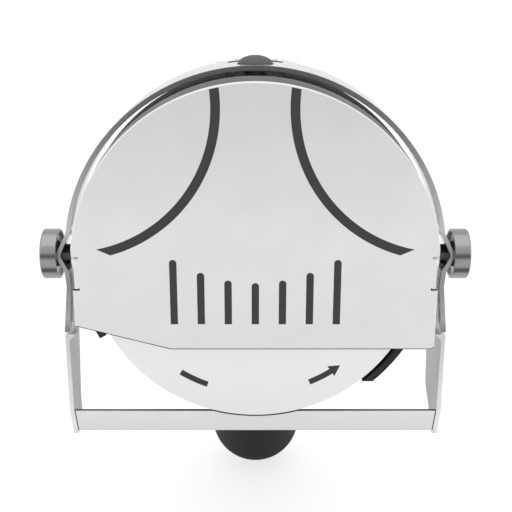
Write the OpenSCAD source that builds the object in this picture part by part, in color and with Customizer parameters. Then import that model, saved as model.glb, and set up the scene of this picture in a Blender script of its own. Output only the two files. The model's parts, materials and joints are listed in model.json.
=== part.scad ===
// Hand-held electric slicer with a round blade, a front plate and a tilting gauge bar.
// Frame: X to the right seen from the plate, Y back towards the handle, Z up.
// The origin lies on the blade axis, in the front face of the plate. Millimetres.

/* [Blade] */
// Diameter of the round blade
blade_d = 100; // [98:0.5:102]
// Thickness of the blade
blade_t = 1.2; // [1:0.1:1.4]
// Width of the ground bevel along the edge
bevel_w = 4; // [3:0.5:5]
// Thickness left at the cutting edge
edge_t = 0.2; // [0.1:0.1:0.4]
// Air between the plate and the blade
blade_gap = 2.9; // [2.7:0.1:3.2]

/* [Front plate] */
// Thickness of the plate
plate_t = 1.5; // [1.2:0.1:1.8]
// Overhang of the plate's arch beyond the blade
plate_over = 5; // [4.6:0.1:5.4]
// Depth of the straight sides cut from the plate's arch
side_flat = 0.8; // [0.6:0.1:1]
// Drop of the lower edge below the blade axis
plate_drop = 25.8; // [24:0.2:28]
// Width of the long chamfer at the lower left
chamfer_w = 28.5; // [24:0.5:32]
// Height of that chamfer
chamfer_h = 7.5; // [6:0.1:10]
// Depth of the enamel stripes let into the plate
stripe_depth = 0.3; // [0.2:0.1:0.6]
// Width of an upright stripe
bar_w = 2.2; // [1.8:0.1:2.6]
// Spacing of the upright stripes
bar_pitch = 8.1; // [7.6:0.1:8.4]
// Centre radius of the two curved stripes
arc_r = 43.7; // [43:0.1:44.4]
// Width of a curved stripe
arc_w = 2.75; // [2.3:0.05:3]

/* [Hood and gauge] */
// Sheet thickness of the hood and the gauge legs
sheet_t = 1.5; // [1.3:0.1:1.6]
// Air between the shroud and the hood
hood_air = 1.5; // [1.3:0.1:1.9]
// Depth of the hood's arch from front to back
hood_len = 20; // [19:0.5:20]
// Reach of the legs below the blade's edge
leg_below = 7.4; // [6.8:0.1:8.2]
// Height of the gauge bar
bar_h = 7; // [6:0.2:7.2]
// Thickness of the gauge bar
bar_t = 1.4; // [1:0.1:1.8]
// Air between the blade's edge and the notch in the gauge bar
notch_gap = 1.2; // [0.8:0.1:1.6]

/* [Clamp knobs] */
// Diameter of a clamp knob
knob_d = 15.5; // [14:0.5:17]
// Length of a clamp knob
knob_len = 5; // [4.7:0.1:6]
// Diameter of the pivot studs
stud_d = 6; // [5:0.5:6.5]
// Distance of the pivot axis behind the plate's front
pivot_y = 15.3; // [14.8:0.1:15.6]

/* [Drive] */
// Teeth on the blade's bevel gear
gear_teeth = 24; // [24]
// Teeth on the motor's bevel pinion
pinion_teeth = 12; // [12]
// Outer cone distance of the gear pair
cone_len = 20; // [19.6:0.1:20.4]
// Share of the pitch that a tooth fills
tooth_share = 0.4; // [0.36:0.01:0.42]
// Diameter of the blade spindle
spindle_d = 8; // [7.5:0.1:8]
// Diameter of the motor shaft
shaft_d = 5; // [4:0.5:5]

/* [Handle] */
// Diameter of the handle
handle_d = 38; // [37.6:0.1:39]
// Slope of the handle below the blade axis, in degrees
handle_angle = 51; // [50.5:0.1:52]
// Length of the motor can
can_len = 53; // [48:1:58]
// Length of the end cap's straight part
cap_len = 13; // [11:0.5:15]
// Wall of the handle shells
handle_wall = 2.5; // [2.2:0.1:2.6]
// Travel of the sliding switch
switch_travel = 4; // [3:0.5:5]
// Travel of the sharpener button
press_travel = 2.5; // [1.5:0.1:2.6]

/* [Fits] */
// Radial clearance of a turning shaft or a thread
run_fit = 0.05; // [0.02:0.01:0.08]
// Clearance of a sliding part
slide_fit = 0.3; // [0.2:0.05:0.4]
// Radial clearance of a part seated in another
seat_fit = 0.1; // [0.05:0.05:0.15]
// Clearance between flat faces that pass each other
face_fit = 0.2; // [0.15:0.05:0.2]

/* [Hidden] */
$fn = 96;

// Reach of a cutting shape past the face that it cuts
cut = 1;

// Stations of the blade along Y
blade_r = blade_d / 2;
blade_y = plate_t + blade_gap;
blade_back = blade_y + blade_t;
flange_t = 3;
flange_r = 13;
flange_air = 0.6;
blade_screw_r = 3;
blade_screw_len = 10;
blade_screw_head_r = 7;
blade_screw_key_r = 2.5;
blade_screw_air = 0.8;

// Outline and stripes of the plate
plate_r = blade_r + plate_over;
plate_half_w = plate_r - side_flat;
arch_inset = 0.45;
arch_r = plate_r - arch_inset;
corner_r = 1.2;
bar_count = 7;
bar_foot = -17.5;
bar_crown = -4.4;
bar_crown_rise = 0.8;
arc_x = 54.9;
arc_z = 47.5;
arc_end_x = 42.6;
arc_end_z = 4.2;
arc_end_slope = 24;

// Side tabs of the plate, which hang it on the pivot studs
tab_top = 3;
tab_foot = -6;
tab_eye_r = 6;
tab_relief = 0.8;
tab_sink = 0.6;
tab_outer = plate_half_w - tab_sink;
tab_inner = tab_outer - plate_t;

// Shroud behind the blade
shroud_r = plate_r;
shroud_wall = 2.2;
shroud_air = 3.2;
shroud_y = blade_back + shroud_air;
shroud_len = 9.7;
shroud_back = shroud_y + shroud_len;
shroud_floor_t = 2.5;
shroud_end_left = 28;
shroud_cut_right = -40.5;
shroud_floor_foot = -44;
floor_inset = 1;
shroud_floor_r = shroud_r - floor_inset;
stud_block_w = 8.5;
stud_block_h = 8;
stud_block_y = 9.6;
ring_front = 2.4;
rim_rise = 2.6;
rim_foot = 22;

// Gauge legs, hood arms and hood, from the plate outwards
leg_in = plate_half_w + face_fit;
leg_out = leg_in + sheet_t;
leg_drop = blade_r + leg_below;
leg_air = 0.75;
arm_in = leg_out + leg_air;
arm_out = arm_in + sheet_t;
arm_waist = -9;
arm_foot = -24.2;
arm_splay = 1.6;
arm_gap = 0.5;
knee_z = -4.3;
knee_step = 0.4;
kink_top = 7.5;
kink_lap = 0.6;
kink_inset = 0.15;
kink_high = 1.3;
kink_low = 0.3;
kink_bulge = 2.8;
kink_out = arm_out + kink_bulge;
kink_in = kink_out - sheet_t;
hood_y = 10;
hood_in_r = shroud_r + hood_air;
hood_r = hood_in_r + sheet_t;
hood_arm_len = 10;
hood_kink_len = 12;
hood_waist_len = 14;
hood_waist_drop = 28;
hood_shoulder_drop = 10;

// Gauge bar
bar_air = 0.4;
bar_y = blade_back + bar_air;
bar_lift = 1;
bar_top = bar_h - leg_drop + bar_lift;

// Front view of the gauge legs: they splay beside the arm, step out below its foot and draw in at the bar
shelf_air = 0.8;
shelf_z = arm_foot - shelf_air;
leg_hip = arm_in + arm_splay - arm_gap;
leg_low = arm_out + arm_splay;
leg_pull = 0.85;
foot_pull = 0.9;
bar_half_w = leg_low - leg_pull - sheet_t;
bar_foot_half_w = bar_half_w - foot_pull * bar_h / (bar_h + bar_lift);

// Side view of the gauge legs, as points (y, z)
leg_brow_y = 14;
leg_back_left = [[14.5, -leg_drop], [25.5, -28], [25.5, shelf_z]];
leg_back_right = [[13.8, -leg_drop], [14.8, -53.7], [25.6, -49.4], [30.3, -37.5], [28, -27]];

// Clamp stack along X
stud_r = stud_d / 2;
stud_bite = 6.9;
stud_in = tab_inner - stud_bite;
spacer_wall = 1.4;
spacer_t = 0.7;
washer_r = 4;
washer_t = 0.5;
washer_x = kink_out;
knob_x = kink_out + washer_t + run_fit;
knob_skirt = 1.1;
knob_lip = 0.8;
knob_rim = knob_x - knob_skirt;
knob_end = knob_rim + knob_len;
knob_floor = 1.8;
knob_edge = 0.3;
coin_slot_w = 1.2;
coin_slot_depth = 0.8;
coin_slot_half = 5;
stud_out = knob_end - knob_floor - run_fit;

// Spindle and its bearings along Y
spindle_r = spindle_d / 2;
bearing_r = 11;
bearing_w = 7;
tube_wall = 3.5;
tube_r = bearing_r + tube_wall;
tube_y = blade_back + flange_t + flange_air;
seal_t = 2;
front_bearing_y = tube_y + seal_t;
bearing_space = 3.8;
rear_bearing_y = front_bearing_y + bearing_w + bearing_space;
bearing_end = rear_bearing_y + bearing_w;
shoulder_t = 3;
tube_end = bearing_end + shoulder_t;
apex_back = 6;
apex_y = tube_end - apex_back;

// Bevel gear pair, with both pitch cones meeting at the apex
gear_ratio = gear_teeth / pinion_teeth;
pinion_cone = atan2(sin(handle_angle), gear_ratio + cos(handle_angle));
gear_cone = handle_angle - pinion_cone;
pitch_r = cone_len * sin(gear_cone);
tooth_module = 2 * pitch_r / gear_teeth;
tooth_up = 0.8 * tooth_module;
tooth_down = 1.15 * tooth_module;
face_share = 0.35;
tooth_slope = 20;
gear_hub_r = 8;
gear_hub_t = 2;
gear_end = apex_y + cone_len * cos(gear_cone) + gear_hub_t;
gear_nut_t = 3.5;
gear_nut_r = 6.5;
thread_over = 0.5;
spindle_end = gear_end + gear_nut_t + thread_over;

// Gear housing and dish
gear_air = 4.1;
gear_room_r = pitch_r + gear_air;
gear_room_end = spindle_end + cut;
boss_wall = 4.5;
boss_r = gear_room_r + boss_wall;
cover_t = 3;
housing_r = shroud_floor_r;
housing_flange_t = 2.5;
housing_flange_w = 4;
housing_wall = 3;
cone_r = housing_r - housing_flange_w;
cone_lap = 4;
cone_tip_r = boss_r + cone_lap;
cone_len_y = 21;
cone_end = shroud_back + housing_flange_t + cone_len_y;

// Handle radii
handle_r = handle_d / 2;
handle_in_r = handle_r - handle_wall;
spigot_wall = 1.1;
spigot_r = handle_in_r - seat_fit;

// Stations along the handle, measured from the apex
neck_air = 0.3;
neck_s = (shroud_back + neck_air - apex_y + handle_r * sin(handle_angle)) / cos(handle_angle);
pinion_end = cone_len * cos(pinion_cone);
pinion_hub_t = 3;
pinion_hub_r = 4;
pinion_air = 1.8;
pinion_room_r = 7.4;
pinion_room_s = 11.5;
motor_seat_s = pinion_end + pinion_hub_t + pinion_air;
motor_bearing_r = 8;
motor_bearing_w = 5;
nose_len = 5;
neck_end = motor_seat_s + motor_bearing_w + nose_len;
spigot_len = 12;
spigot_end = neck_end + spigot_len;
collar_len = 8;
collar_step = 1.1;
cap_lip = 3;

// Motor
can_air = 0.5;
can_s = neck_end + 2 * can_air;
can_end = can_s + can_len;
can_r = spigot_r - spigot_wall - seat_fit;
can_wall = 1.5;
can_front_t = 2;
nose_r = motor_bearing_r - seat_fit;
nose_hole_r = 3.5;
magnet_t = 2.4;
magnet_inset = 7;
magnet_short = 17;
magnet_s = can_s + magnet_inset;
magnet_len = can_len - magnet_short;
magnet_slot = 6;
core_air = 0.7;
core_r = can_r - can_wall - magnet_t - core_air;
core_inset = 9;
core_short = 23;
core_s = can_s + core_inset;
core_len = can_len - core_short;
core_slots = 12;
core_slot_w = 1.6;
core_slot_depth = 2;
commutator_r = 5;
commutator_back = 10;
commutator_s = can_end - commutator_back;
commutator_len = 8;
brush_w = 4;
brush_air = 1.2;
brush_out = can_r - can_wall - brush_air;
end_bell_t = 4;
bush_r = 5;
shaft_r = shaft_d / 2;
shaft_end = can_end + end_bell_t + cut;
lead_r = 1;
lead_x = 6;
lead_len = 6;

// Switch and cord inlet in the handle
switch_s = can_end + end_bell_t + lead_len;
switch_len = 22;
switch_room = 6;
shell_end = switch_s + switch_len + switch_room;
handle_len = shell_end + cap_len;
switch_w = 16;
switch_drop = 2;
switch_cover = 3.7;
switch_top = handle_in_r - switch_cover;
button_w = 9.2;
button_len = 13;
button_inset = 4;
button_s = switch_s + button_inset;
button_rise = 2.5;
slider_t = 1.7;
slider_w = 13;
slider_over = 2.5;
screw_first = 5;
screw_last = 18;
screw_s = [switch_s + screw_first, switch_s + screw_last];
screw_depth = 6;
screw_y = handle_in_r - screw_depth;
post_r = 3.2;
gland_r = 6;
gland_bore_r = 3.6;
gland_len = 14;
gland_lip = 1.5;

// Sharpener, hung from the top of the hood
button_r = 5.2;
button_dome = 2.3;
button_y = 17;
button_sink = 2;
button_foot = hood_r - button_sink;
spring_len = 4.5;
spring_wall = 0.7;
guide_top = button_foot - spring_len;
guide_t = 2;
guide_half_w = 8.6;
guide_y = 11.5;
stem_r = 2.4;
stem_y = 15;
stem_len = 9;
stem_foot = button_foot - stem_len;
arm_half_w = 3;
arm_t = 2.5;
arm_y = 7.5;
arm_front_t = 2;
stone_half_w = 3.5;
stone_foot_gap = 0.4;
stone_len = 1.8;
stone_top = blade_r + stone_foot_gap + stone_len;
stone_air = 0.2;
slot_half_w = 9;
slot_foot = stem_foot - arm_t - press_travel - cut;
hood_slot_half_w = 8.3;
hood_slot_y = 23.2;
hood_slot_len = 4.4;

// Screws
m3_r = 1.5;
m3_head_r = 2.8;
m3_head_t = 2;
shroud_screw_inset = 4.5;
shroud_screw_r = shroud_floor_r - shroud_screw_inset;
shroud_screw_angles = [50, 130, 215, 325];
cover_screw_r = gear_room_r + boss_wall / 2;
cover_screw_angles = [90, 195, 345];
screw_bite = 5;
screw_hole = 6;

// Bracket behind the hood
bracket_half_w = 13.5;
bracket_over = 1.6;
bracket_len = 20.6;
bracket_top = hood_r + bracket_over;
bracket_foot = bracket_top - bracket_len;
bracket_air = 0.5;
bracket_y = hood_y + hood_len + bracket_air;
bracket_t = 3;
bracket_sink = 0.5;
bracket_flare = 0.8;
bracket_hole_r = 3;
bracket_hole_drop = 8.6;
bracket_hole_z = bracket_top - bracket_hole_drop;
bracket_screw_x = 8;
bracket_screw_lift = 3.5;
bracket_screw_z = bracket_foot + bracket_screw_lift;
pad_half_w = 14;
pad_len = 18;
pad_top = bracket_screw_z + bracket_screw_lift;
pad_foot = pad_top - pad_len;
pad_y = 22;

// Standoffs between plate and shroud
standoff_r = 1.4;
standoff_inset = 1.6;
standoff_place_r = arch_r - standoff_inset;
standoff_angles = [62, 118];

// Shapes placed in the frame

// A solid of the front-view outline (x, z), from y over length t
module front_extrude(y, t) {
    translate([0, y + t, 0])
        rotate([90, 0, 0])
            linear_extrude(t) children();
}

// A solid of the side-view outline (y, z), from x over length t
module side_extrude(x, t) {
    translate([x, 0, 0])
        rotate([90, 0, 90])
            linear_extrude(t) children();
}

// A round bar along Y
module y_rod(y, t, r) {
    translate([0, y, 0])
        rotate([-90, 0, 0])
            cylinder(h = t, r = r);
}

// A round bar along X at the pivot axis
module pivot_rod(x, t, r) {
    translate([x, pivot_y, 0])
        rotate([0, 90, 0])
            cylinder(h = t, r = r);
}

// A box given by its two corners
module span(low, high) {
    translate(low) cube(high - low);
}

// Children drawn along the handle: local z runs down the handle, local y to its underside
module on_handle(s = 0) {
    translate([0, apex_y, 0])
        rotate([-(90 + handle_angle), 0, 0])
            translate([0, 0, s]) children();
}

// A round bar along the handle
module handle_rod(s, t, r) {
    on_handle(s) cylinder(h = t, r = r);
}

// Children on both sides of the blade axis
module both_sides() {
    children();
    mirror([1, 0, 0]) children();
}

// Children at a radius and an angle about the blade axis
module at_angle(r, a) {
    translate([r * cos(a), 0, r * sin(a)]) children();
}

// A screw along Y with its head in front of y
module y_screw(y, len) {
    union() {
        y_rod(y - m3_head_t, m3_head_t, m3_head_r);
        y_rod(y - m3_head_t / 2, len + m3_head_t / 2, m3_r);
    }
}

// Front plate

module plate_outline() {
    difference() {
        intersection() {
            union() {
                circle(arch_r);
                translate([-plate_r, -plate_drop]) square([2 * plate_r, plate_drop]);
            }
            translate([-plate_half_w, -plate_drop]) square([2 * plate_half_w, plate_drop + plate_r]);
        }
        polygon([
            [-plate_half_w - cut, -plate_drop - cut],
            [-plate_half_w + chamfer_w, -plate_drop - cut],
            [-plate_half_w + chamfer_w, -plate_drop],
            [-plate_half_w, chamfer_h - plate_drop],
            [-plate_half_w - cut, chamfer_h - plate_drop]
        ]);
        translate([plate_half_w - corner_r, -plate_drop - cut])
            difference() {
                square([corner_r + cut, corner_r + cut]);
                translate([0, corner_r + cut]) circle(corner_r);
            }
    }
}

module curved_stripe() {
    intersection() {
        translate([arc_x, arc_z])
            difference() {
                circle(arc_r + arc_w / 2);
                circle(arc_r - arc_w / 2);
            }
        translate([arc_end_x, arc_end_z])
            rotate(arc_end_slope)
                translate([-plate_r, 0]) square(2 * plate_r);
        circle(plate_r - cut);
    }
}

module upright_stripe(i) {
    crown = bar_crown + bar_crown_rise * i * i;
    translate([i * bar_pitch - bar_w / 2, bar_foot]) square([bar_w, crown - bar_foot - bar_w / 2]);
    translate([i * bar_pitch, crown - bar_w / 2]) circle(bar_w / 2);
}

module stripe_outlines() {
    curved_stripe();
    mirror([1, 0]) curved_stripe();
    half = (bar_count - 1) / 2;
    for (i = [-half : half]) upright_stripe(i);
}

module plate_tab() {
    difference() {
        union() {
            span([tab_inner, plate_t / 2, tab_foot], [tab_outer, pivot_y, tab_top]);
            pivot_rod(tab_inner, plate_t, tab_eye_r);
        }
        pivot_rod(tab_inner - cut, plate_t + 2 * cut, stud_r + run_fit);
    }
}

module front_plate() {
    color("gainsboro")
        difference() {
            union() {
                front_extrude(0, plate_t) plate_outline();
                both_sides() plate_tab();
            }
            front_extrude(-cut, stripe_depth + cut) stripe_outlines();
            both_sides() {
                for (z = [tab_top, tab_foot - tab_relief])
                    span(
                        [tab_inner, -cut, z],
                        [plate_half_w + cut, plate_t + cut, z + tab_relief]
                    );
                span([tab_outer, -cut, tab_foot], [plate_half_w + cut, plate_t + cut, tab_top]);
            }
        }
}

module stripe_inlays() {
    color("dimgray")
        front_extrude(0, stripe_depth) stripe_outlines();
}

module plate_standoffs() {
    color("silver")
        for (a = standoff_angles)
            at_angle(standoff_place_r, a) y_rod(plate_t, shroud_y - plate_t, standoff_r);
}

// Shroud, hood and bracket

module shroud_ring() {
    intersection() {
        difference() {
            y_rod(shroud_y, shroud_back - shroud_y, shroud_r);
            y_rod(shroud_y - cut, shroud_back - shroud_y + 2 * cut, shroud_r - shroud_wall);
        }
        union() {
            intersection() {
                rotate([0, -shroud_end_left, 0])
                    span([-2 * plate_r, 0, 0], [2 * plate_r, shroud_back, 2 * plate_r]);
                span([-plate_half_w, 0, -plate_r], [0, shroud_back, plate_r]);
            }
            span([0, 0, shroud_cut_right], [plate_half_w, shroud_back, plate_r]);
        }
    }
}

module shroud_floor() {
    intersection() {
        y_rod(shroud_back - shroud_floor_t, shroud_floor_t, shroud_floor_r);
        span([-plate_r, 0, shroud_floor_foot], [plate_r, shroud_back, plate_r]);
    }
}

// Flange at the top of the shroud, close under the hood
module shroud_rim() {
    rim_y = shroud_back - shroud_floor_t;
    intersection() {
        difference() {
            translate([0, 0, rim_rise]) y_rod(rim_y, shroud_floor_t, hood_in_r - slide_fit - rim_rise);
            y_rod(rim_y - cut, shroud_floor_t + 2 * cut, shroud_r - shroud_wall);
        }
        span([-hood_r, rim_y, rim_foot], [hood_r, shroud_back, hood_r]);
    }
}

module stud_block() {
    span(
        [tab_inner - stud_block_w, stud_block_y, -stud_block_h],
        [tab_inner, shroud_back, stud_block_h]
    );
}

module blade_shroud() {
    side_cut = tab_eye_r + 2 * cut;
    color("#2b2b2d")
        difference() {
            union() {
                shroud_ring();
                shroud_floor();
                shroud_rim();
                both_sides() stud_block();
            }
            both_sides()
                span([tab_inner, shroud_y - cut, -side_cut], [plate_r + cut, shroud_back + cut, side_cut]);
            both_sides() pivot_rod(stud_in, plate_r, stud_r + run_fit);
            y_rod(shroud_y, shroud_back, tube_r + run_fit);
            span(
                [-slot_half_w, shroud_y + ring_front, slot_foot],
                [slot_half_w, shroud_back + cut, hood_r]
            );
            for (a = shroud_screw_angles)
                at_angle(shroud_screw_r, a) y_rod(shroud_y, shroud_back, m3_r + run_fit);
        }
}

module hood_arm_outline() {
    top_out = sqrt(hood_r * hood_r - kink_top * kink_top);
    top_in = sqrt(hood_in_r * hood_in_r - kink_top * kink_top);
    polygon([
        [top_in + kink_inset, kink_top + kink_lap], [top_out - kink_inset, kink_top + kink_lap],
        [kink_out, kink_high], [kink_out, kink_low],
        [arm_out + knee_step, knee_z], [arm_out, arm_waist], [arm_out + arm_splay, arm_foot],
        [arm_in + arm_splay, arm_foot], [arm_in, arm_waist], [arm_in + knee_step, knee_z],
        [kink_in, kink_low], [kink_in, kink_high]
    ]);
}

module hood_arch_outline() {
    intersection() {
        difference() {
            circle(hood_r);
            circle(hood_in_r);
        }
        translate([-hood_r, kink_top]) square([2 * hood_r, hood_r]);
    }
}

module hood_side_outline() {
    polygon([
        [hood_y, arm_foot], [hood_y + hood_arm_len, arm_foot],
        [hood_y + hood_kink_len, kink_top], [hood_y + hood_waist_len, hood_r - hood_waist_drop],
        [hood_y + hood_len, hood_r - hood_shoulder_drop], [hood_y + hood_len, hood_r + cut],
        [hood_y, hood_r + cut]
    ]);
}

module blade_hood() {
    color("whitesmoke")
        difference() {
            intersection() {
                union() {
                    front_extrude(hood_y, hood_len) hood_arch_outline();
                    both_sides() front_extrude(hood_y, hood_len) hood_arm_outline();
                }
                side_extrude(-kink_out - cut, 2 * (kink_out + cut)) hood_side_outline();
            }
            pivot_rod(-kink_out - cut, 2 * (kink_out + cut), stud_r + run_fit);
            translate([0, button_y, hood_in_r - 2 * cut])
                cylinder(h = 4 * cut + sheet_t, r = button_r + slide_fit);
            span(
                [-hood_slot_half_w, hood_slot_y, hood_in_r - 2 * cut],
                [hood_slot_half_w, hood_slot_y + hood_slot_len, hood_r + cut]
            );
        }
}

module hood_bracket() {
    color("whitesmoke")
        difference() {
            intersection() {
                span(
                    [-bracket_half_w, bracket_y, bracket_foot],
                    [bracket_half_w, bracket_y + bracket_t, bracket_top]
                );
                y_rod(bracket_y, bracket_t, bracket_top);
                translate([0, bracket_y, 0])
                    rotate([-90, 0, 0])
                        cylinder(h = bracket_t, r1 = hood_r - bracket_sink, r2 = bracket_top + bracket_flare);
            }
            translate([0, 0, bracket_hole_z]) y_rod(bracket_y - cut, bracket_t + 2 * cut, bracket_hole_r);
            for (x = [-bracket_screw_x, bracket_screw_x])
                translate([x, 0, bracket_screw_z])
                    y_rod(bracket_y - cut, bracket_t + 2 * cut, m3_r + run_fit);
        }
}

module bracket_screws() {
    back = bracket_y + bracket_t;
    color("silver")
        for (x = [-bracket_screw_x, bracket_screw_x])
            translate([x, 0, bracket_screw_z])
                union() {
                    y_rod(back, m3_head_t, m3_head_r);
                    y_rod(bracket_y - screw_bite, bracket_t + screw_bite + cut, m3_r);
                }
}

// Dish, bearing tube and gear housing with the neck of the handle

module dish_outside() {
    flange_end = shroud_back + housing_flange_t;
    intersection() {
        y_rod(shroud_back, housing_flange_t, housing_r);
        span([-tab_inner, 0, -housing_r], [tab_inner, gear_room_end, housing_r]);
    }
    translate([0, flange_end, 0])
        rotate([-90, 0, 0])
            cylinder(h = cone_end - flange_end, r1 = cone_r, r2 = cone_tip_r);
}

module dish_hollow() {
    hollow_end = cone_end - 2 * housing_wall;
    translate([0, shroud_back - cut, 0])
        rotate([-90, 0, 0])
            cylinder(
                h = hollow_end - shroud_back + cut,
                r1 = cone_r - housing_wall,
                r2 = cone_tip_r - housing_wall
            );
}

module back_dish() {
    color("#3a3b3d")
        difference() {
            union() {
                difference() {
                    dish_outside();
                    dish_hollow();
                }
                span([-pad_half_w, pad_y, pad_foot], [pad_half_w, bracket_y, pad_top]);
            }
            y_rod(shroud_back - cut, gear_room_end, boss_r + seat_fit);
            handle_rod(neck_s - cut, neck_end, handle_r + seat_fit);
            span(
                [-pad_half_w, bracket_y, bracket_foot - slide_fit],
                [pad_half_w, gear_room_end, hood_r]
            );
            span(
                [-slot_half_w, shroud_back - cut, guide_top + face_fit],
                [slot_half_w, shroud_back + housing_flange_t + cut, housing_r + cut]
            );
            for (a = shroud_screw_angles)
                at_angle(shroud_screw_r, a)
                    y_rod(shroud_back - cut, housing_flange_t + 2 * cut, m3_r + run_fit);
            for (x = [-bracket_screw_x, bracket_screw_x])
                translate([x, 0, bracket_screw_z])
                    y_rod(bracket_y - screw_hole, screw_hole + cut, m3_r + run_fit);
        }
}

module bearing_tube() {
    color("#55565a")
        difference() {
            y_rod(tube_y, tube_end - tube_y, tube_r);
            y_rod(tube_y - cut, bearing_end - tube_y + cut, bearing_r);
            y_rod(tube_y, tube_end - tube_y + cut, bearing_r - tube_wall);
            handle_rod(pinion_room_s, motor_seat_s - pinion_room_s, pinion_room_r);
        }
}

module gear_housing() {
    color("#3a3b3d")
        difference() {
            union() {
                y_rod(shroud_back, gear_room_end - shroud_back, boss_r);
                handle_rod(neck_s, neck_end - neck_s, handle_r);
                handle_rod(neck_end - cut, spigot_end - neck_end + cut, spigot_r);
            }
            y_rod(shroud_back - cut, tube_end - shroud_back + cut, tube_r + seat_fit);
            y_rod(tube_end - cut, gear_room_end - tube_end + 2 * cut, gear_room_r);
            handle_rod(pinion_room_s, motor_seat_s - pinion_room_s + cut, pinion_room_r);
            handle_rod(motor_seat_s, can_s - motor_seat_s, motor_bearing_r);
            handle_rod(can_s - can_air, spigot_end, spigot_r - spigot_wall);
            for (a = cover_screw_angles)
                at_angle(cover_screw_r, a)
                    y_rod(gear_room_end - screw_hole, screw_hole + cut, m3_r + run_fit);
        }
}

module gear_cover() {
    color("#3a3b3d")
        difference() {
            y_rod(gear_room_end, cover_t, boss_r);
            handle_rod(neck_s, shell_end - neck_s, handle_r + slide_fit);
            for (a = cover_screw_angles)
                at_angle(cover_screw_r, a) y_rod(gear_room_end - cut, cover_t + 2 * cut, m3_r + run_fit);
        }
}

module cover_screws() {
    back = gear_room_end + cover_t;
    color("silver")
        for (a = cover_screw_angles)
            at_angle(cover_screw_r, a)
                union() {
                    y_rod(back, m3_head_t, m3_head_r);
                    y_rod(gear_room_end - screw_bite, cover_t + screw_bite + cut, m3_r);
                }
}

module shroud_screws() {
    floor_front = shroud_back - shroud_floor_t;
    color("silver")
        for (a = shroud_screw_angles)
            at_angle(shroud_screw_r, a)
                y_screw(floor_front, shroud_floor_t + housing_flange_t - cut);
}

// Spindle and blade

module spindle_bearings() {
    color("lightgray")
        for (y = [front_bearing_y, rear_bearing_y])
            difference() {
                y_rod(y, bearing_w, bearing_r);
                y_rod(y - cut, bearing_w + 2 * cut, spindle_r + run_fit);
            }
}

module shaft_seal() {
    color("#202020")
        difference() {
            y_rod(tube_y, seal_t, bearing_r);
            y_rod(tube_y - cut, seal_t + 2 * cut, spindle_r + run_fit);
        }
}

module blade() {
    color("lightgray")
        translate([0, blade_back, 0])
            rotate([90, 0, 0])
                rotate_extrude($fn = 180)
                    polygon([
                        [spindle_r, 0], [blade_r - bevel_w, 0],
                        [blade_r, blade_t - edge_t], [blade_r, blade_t], [spindle_r, blade_t]
                    ]);
}

module blade_screw() {
    head_t = blade_gap - blade_screw_air;
    color("silver")
        difference() {
            union() {
                y_rod(blade_y - head_t, head_t, blade_screw_head_r);
                y_rod(blade_y - cut, blade_screw_len + cut, blade_screw_r);
            }
            y_rod(blade_y - head_t - cut, cut + head_t / 2, blade_screw_key_r, $fn = 6);
        }
}

module spindle() {
    color("darkgray")
        difference() {
            union() {
                y_rod(blade_y, spindle_end - blade_y, spindle_r);
                y_rod(blade_back, flange_t, flange_r);
            }
            y_rod(blade_y - cut, blade_screw_len + 2 * cut, blade_screw_r);
        }
}

// Bevel gears

// Radius, in the plane of the big end, of a cone at angle a
function cone_radius(half_angle, a) = cone_len * cos(half_angle) * tan(a);

function tooth_angle(size) = atan(size / cone_len);

module tooth_outline(half_angle, teeth) {
    tip = cone_radius(half_angle, half_angle + tooth_angle(tooth_up));
    pitch = cone_radius(half_angle, half_angle);
    root = cone_radius(half_angle, half_angle - tooth_angle(tooth_down));
    half_pitch = tooth_share * 180 / teeth;
    lean = tan(tooth_slope) * 180 / PI;
    tip_half = half_pitch - lean * (tip - pitch) / pitch;
    root_half = half_pitch + lean * (pitch - root) / pitch;
    circle(root + run_fit);
    for (i = [0 : teeth - 1])
        rotate(i * 360 / teeth)
            polygon([
                [root * cos(root_half), -root * sin(root_half)],
                [tip * cos(tip_half), -tip * sin(tip_half)],
                [tip * cos(tip_half), tip * sin(tip_half)],
                [root * cos(root_half), root * sin(root_half)]
            ]);
}

// Teeth that narrow towards the apex at the origin, on an axis along +Z
module bevel_teeth(half_angle, teeth) {
    small = 1 - face_share;
    depth = cone_len * cos(half_angle);
    translate([0, 0, depth * small])
        linear_extrude(depth * face_share, scale = 1 / small)
            scale(small) tooth_outline(half_angle, teeth);
}

module bevel_gear() {
    color("goldenrod")
        difference() {
            union() {
                translate([0, apex_y, 0])
                    rotate([-90, 0, 0])
                        rotate(90) bevel_teeth(gear_cone, gear_teeth);
                y_rod(gear_end - gear_hub_t - cut, gear_hub_t + cut, gear_hub_r);
            }
            y_rod(apex_y, gear_end, spindle_r);
        }
}

module gear_nut() {
    color("silver")
        difference() {
            translate([0, gear_end, 0])
                rotate([-90, 0, 0])
                    cylinder(h = gear_nut_t, r = gear_nut_r, $fn = 6);
            y_rod(gear_end - cut, gear_nut_t + 2 * cut, spindle_r);
        }
}

module bevel_pinion() {
    color("darkgray")
        difference() {
            union() {
                on_handle()
                    rotate(-90 + 180 / pinion_teeth) bevel_teeth(pinion_cone, pinion_teeth);
                handle_rod(pinion_end - cut, pinion_hub_t + cut, pinion_hub_r);
            }
            handle_rod(0, pinion_end + pinion_hub_t + cut, shaft_r);
        }
}

// Motor

module motor_shaft() {
    small = 1 - face_share;
    start = pinion_end * small;
    color("silver") handle_rod(start, shaft_end - start, shaft_r);
}

module armature() {
    color("#8a4b2a")
        difference() {
            handle_rod(core_s, core_len, core_r);
            handle_rod(core_s - cut, core_len + 2 * cut, shaft_r);
            on_handle(core_s - cut)
                for (i = [0 : core_slots - 1])
                    rotate(i * 360 / core_slots)
                        translate([core_r - core_slot_depth, -core_slot_w / 2, 0])
                            cube([core_slot_depth + cut, core_slot_w, core_len + 2 * cut]);
        }
}

module commutator() {
    color("peru")
        difference() {
            handle_rod(commutator_s, commutator_len, commutator_r);
            handle_rod(commutator_s - cut, commutator_len + 2 * cut, shaft_r);
        }
}

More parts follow.
